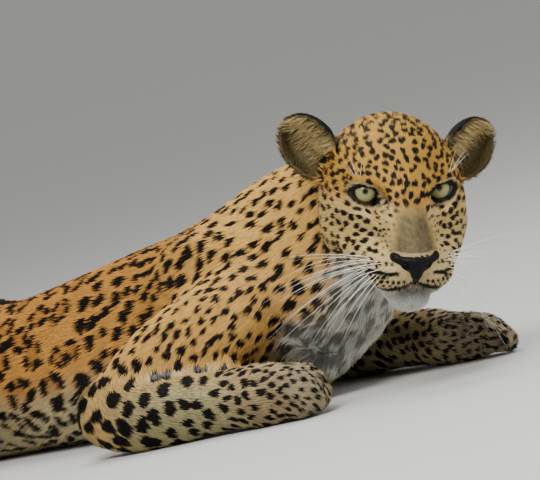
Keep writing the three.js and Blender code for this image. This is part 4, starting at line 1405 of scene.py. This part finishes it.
def makeEye(side, name):
    bm = bmesh.new()
    segments, rows = eyeLook["facets"]
    bmesh.ops.create_uvsphere(bm, u_segments=segments, v_segments=rows, radius=eye["radius"])
    for v in bm.verts:  # the cornea stands out
        off = math.degrees(v.co.angle(Vector((0, 0, 1))))
        v.co *= 1 + eyeLook["bulge"] * max(0.0, 1 - (off / eyeLook["cornea"]) ** 2)
    for f in bm.faces:
        f.smooth = True
    away = [math.degrees(v.co.angle(Vector((0, 0, 1)))) for v in bm.verts]
    around = [math.atan2(v.co.y, v.co.x) for v in bm.verts]
    gaze = Vector(eye["gaze"]).to_track_quat("Z", "Y").to_matrix().to_4x4()
    bmesh.ops.transform(bm, matrix=gaze, verts=bm.verts)
    upward = [v.co.z / eye["radius"] for v in bm.verts]
    for v in bm.verts:
        v.co = Vector(fromHead(np.array(v.co) + eyeAt * side) * mm)
    mesh = meshOf(name, bm)
    vertexAttribute(mesh, "offGaze", "FLOAT", away)
    ring = np.stack([np.cos(around), np.sin(around), np.array(away) / 60], 1)
    vertexAttribute(mesh, "roundGaze", "FLOAT_VECTOR", ring)
    vertexAttribute(mesh, "upward", "FLOAT", upward)
    mesh.materials.append(eyeMaterial)
    made = meshObject(name, mesh)
    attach(made, "root")
    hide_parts(name.replace("eyeball", "eye"))


def makeEyeMaterial():
    material, shader, nodes, links = newMaterial("eyeWet", 0.25, 0.1)
    shader.inputs["Coat Weight"].default_value = 0.45
    shader.inputs["Coat Roughness"].default_value = 0.04
    off, around, high = (nodes.new("ShaderNodeAttribute") for _ in range(3))
    off.attribute_name, around.attribute_name, high.attribute_name = "offGaze", "roundGaze", "upward"
    share = nodes.new("ShaderNodeMath")
    share.operation = "DIVIDE"
    share.inputs[1].default_value = 90
    links.new(off.outputs["Fac"], share.inputs[0])
    ramp = nodes.new("ShaderNodeValToRGB")
    for k, (degrees, tone) in enumerate(eyeLook["rings"]):
        stop = ramp.color_ramp.elements[k] if k < 2 else ramp.color_ramp.elements.new(degrees / 90)
        stop.position = degrees / 90
        stop.color = (*tone, 1)
    links.new(share.outputs[0], ramp.inputs["Fac"])
    fibre = nodes.new("ShaderNodeTexNoise")
    fibre.inputs["Scale"].default_value = 9
    fibre.inputs["Detail"].default_value = 4
    links.new(around.outputs["Vector"], fibre.inputs["Vector"])
    spread = rangeNode(nodes, 0.3, 0.7, 0.72, 1.2)
    links.new(fibre.outputs["Fac"], spread.inputs["Value"])
    lidShade = rangeNode(nodes, 0.28, 0.72, 1, 0.22)
    links.new(high.outputs["Fac"], lidShade.inputs["Value"])
    both = nodes.new("ShaderNodeMath")
    both.operation = "MULTIPLY"
    links.new(spread.outputs["Result"], both.inputs[0])
    links.new(lidShade.outputs["Result"], both.inputs[1])
    shade = multiplyNode(nodes)
    shade.inputs["Factor"].default_value = 1
    links.new(ramp.outputs["Color"], shade.inputs["A"])
    links.new(both.outputs[0], shade.inputs["B"])
    links.new(shade.outputs["Result"], shader.inputs["Base Color"])
    return material


eyeMaterial = makeEyeMaterial()
makeEye(-1, "eyeball_right")
makeEye(1, "eyeball_left")
print("eyes made")

# Nose pad
nostril = dict(at=(77, 13.5, -65.5), size=(9, 3.4, 3.6))


def padShape(h):
    s = mirrored(h)
    d = noseField(h)
    hole = ball(nostril["at"], nostril["size"], (24, 0, 30))
    slit = ball((69, 21.5, -63), (9, 4.2, 1.7), (-16, 0, 50))
    groove = np.hypot(s[:, 1], (h[:, 0] - 83)) - 1.4
    d = carved(d, hole(s), 2)
    d = carved(d, slit(s), 1.5)
    return np.where(h[:, 2] < -66, carved(d, groove, 1.5), d)


def makeNose():
    bm = bmesh.new()
    bmesh.ops.create_icosphere(bm, subdivisions=6, radius=1)
    p = np.array([v.co for v in bm.verts]) * (20, 29, 20) + (64, 0, -67)
    for _ in range(14):
        d = padShape(p)
        slope = np.stack([(padShape(p + step) - d) / 0.2 for step in np.eye(3) * 0.2], 1)
        p -= slope * np.clip(d / np.maximum((slope ** 2).sum(1), 0.2), -1.5, 1.5)[:, None]
    for v, q in zip(bm.verts, p):
        v.co = Vector(fromHead(q) * mm)
    for f in bm.faces:
        f.smooth = True
    mesh = meshOf("nosePad", bm)
    mesh.materials.append(noseMaterial)
    made = meshObject("nosePad", mesh)
    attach(made, "root")
    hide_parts("nose")


def makeNoseMaterial():
    material, shader, nodes, links = newMaterial("nosePebble", 0.42, 0.12)
    where = nodes.new("ShaderNodeTexCoord")
    cells = nodes.new("ShaderNodeTexVoronoi")
    cells.inputs["Scale"].default_value = 620
    links.new(where.outputs["Object"], cells.inputs["Vector"])
    raised = nodes.new("ShaderNodeBump")
    raised.invert = True
    raised.inputs["Strength"].default_value = 0.7
    raised.inputs["Distance"].default_value = 0.0005
    links.new(cells.outputs["Distance"], raised.inputs["Height"])
    links.new(raised.outputs["Normal"], shader.inputs["Normal"])
    tint = nodes.new("ShaderNodeValToRGB")
    tint.color_ramp.elements[0].color = (0.005, 0.004, 0.004, 1)
    tint.color_ramp.elements[1].color = (0.002, 0.002, 0.002, 1)
    links.new(cells.outputs["Distance"], tint.inputs["Fac"])
    links.new(tint.outputs["Color"], shader.inputs["Base Color"])
    return material


noseMaterial = makeNoseMaterial()
makeNose()
print("nose made")

# Whiskers and the long hairs over the eyes
whiskers = dict(rows=4, perRow=6, thick=0.33)


def makeWhiskers():
    curve = bpy.data.curves.new("whiskers", "CURVE")
    curve.dimensions = "3D"
    curve.bevel_depth = whiskers["thick"] * mm
    curve.bevel_resolution = 1
    dice = np.random.default_rng(4)
    hairs = []
    for side in (-1, 1):
        for r in range(whiskers["rows"]):
            for k in range(whiskers["perRow"]):
                start = np.array((58 - 5.5 * k, 34 + 2.6 * k, -68 - 6.2 * r + 0.8 * k), float)
                start += dice.random(3) * 2
                out = np.array((0.25 - 0.17 * k, 1.0, 0.06 - 0.27 * r), float) + (dice.random(3) - 0.5) * 0.45
                long = 40 + 12 * k + 38 * dice.random()
                hairs.append((side, start, unit(out), long, 14 + 30 * dice.random()))
        for k in range(3):
            start = np.array((4 - 2 * k, 30 + 6 * k, 21), float)
            out = np.array((0.55, 0.1 + 0.22 * k, 1.0)) + (dice.random(3) - 0.5) * 0.2
            hairs.append((side, start, unit(out), 34 + 14 * dice.random(), 8))
    for side, start, out, long, sag in hairs:
        flip = np.array((1, side, 1))
        start = ontoHead([start * flip], [(0.4, side * 0.9, 0)])[0] - (1.2, side * 1.0, 0)
        line = curve.splines.new("POLY")
        steps = 12
        line.points.add(steps)
        for i in range(steps + 1):
            t = i / steps
            q = start + out * flip * long * t + np.array((-0.35, 0, -1)) * sag * t * t
            line.points[i].co = (*fromHead(q) * mm, 1)
            line.points[i].radius = 1.05 - 0.9 * t
    made = bpy.data.objects.new("whiskers", curve)
    scene.collection.objects.link(made)
    mesh = finishedMesh(made)
    bpy.data.objects.remove(made)
    mesh.name = "whiskers"
    mesh.materials.clear()
    mesh.materials.append(plainMaterial("whiskerHair", (0.82, 0.8, 0.74), 0.35))
    made = meshObject("whiskers", mesh)
    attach(made, "root")


def plainMaterial(name, colour, roughness):
    material, shader, _, _ = newMaterial(name, roughness)
    shader.inputs["Base Color"].default_value = (*colour, 1)
    return material


makeWhiskers()
print("whiskers made")

# Floor and soft light
studio = dict(floorSize=400, grey=(0.62, 0.62, 0.6), world=0.75)


def makeFloor():
    bm = bmesh.new()
    bmesh.ops.create_grid(bm, x_segments=2, y_segments=2, size=studio["floorSize"] / 2)
    floor = meshObject("floor", meshOf("floor", bm))
    floor.data.materials.append(plainMaterial("floorPale", studio["grey"], 0.7))


def makeLight(name, place, aim, size, power):
    data = bpy.data.lights.new(name, "AREA")
    data.shape = "DISK"
    data.size = size
    data.energy = power
    lamp = bpy.data.objects.new(name, data)
    way = Vector(aim) - Vector(place)
    lamp.matrix_world = Matrix.Translation(place) @ way.to_track_quat("-Z", "Y").to_matrix().to_4x4()
    scene.collection.objects.link(lamp)


makeFloor()
makeLight("keyLight", (1.2, -2.2, 2.6), (0.1, 0, 0.1), 1.8, 125)
makeLight("fillLight", (2.6, 0.6, 1.4), (0.2, 0, 0.1), 2.2, 30)
makeLight("topLight", (-0.6, 0.6, 3.0), (-0.2, 0, 0), 2.4, 50)
world = bpy.data.worlds.new("studio")
world.use_nodes = True
backdrop = world.node_tree.nodes["Background"]
backdrop.inputs["Color"].default_value = (*studio["grey"], 1)
backdrop.inputs["Strength"].default_value = studio["world"]
scene.world = world
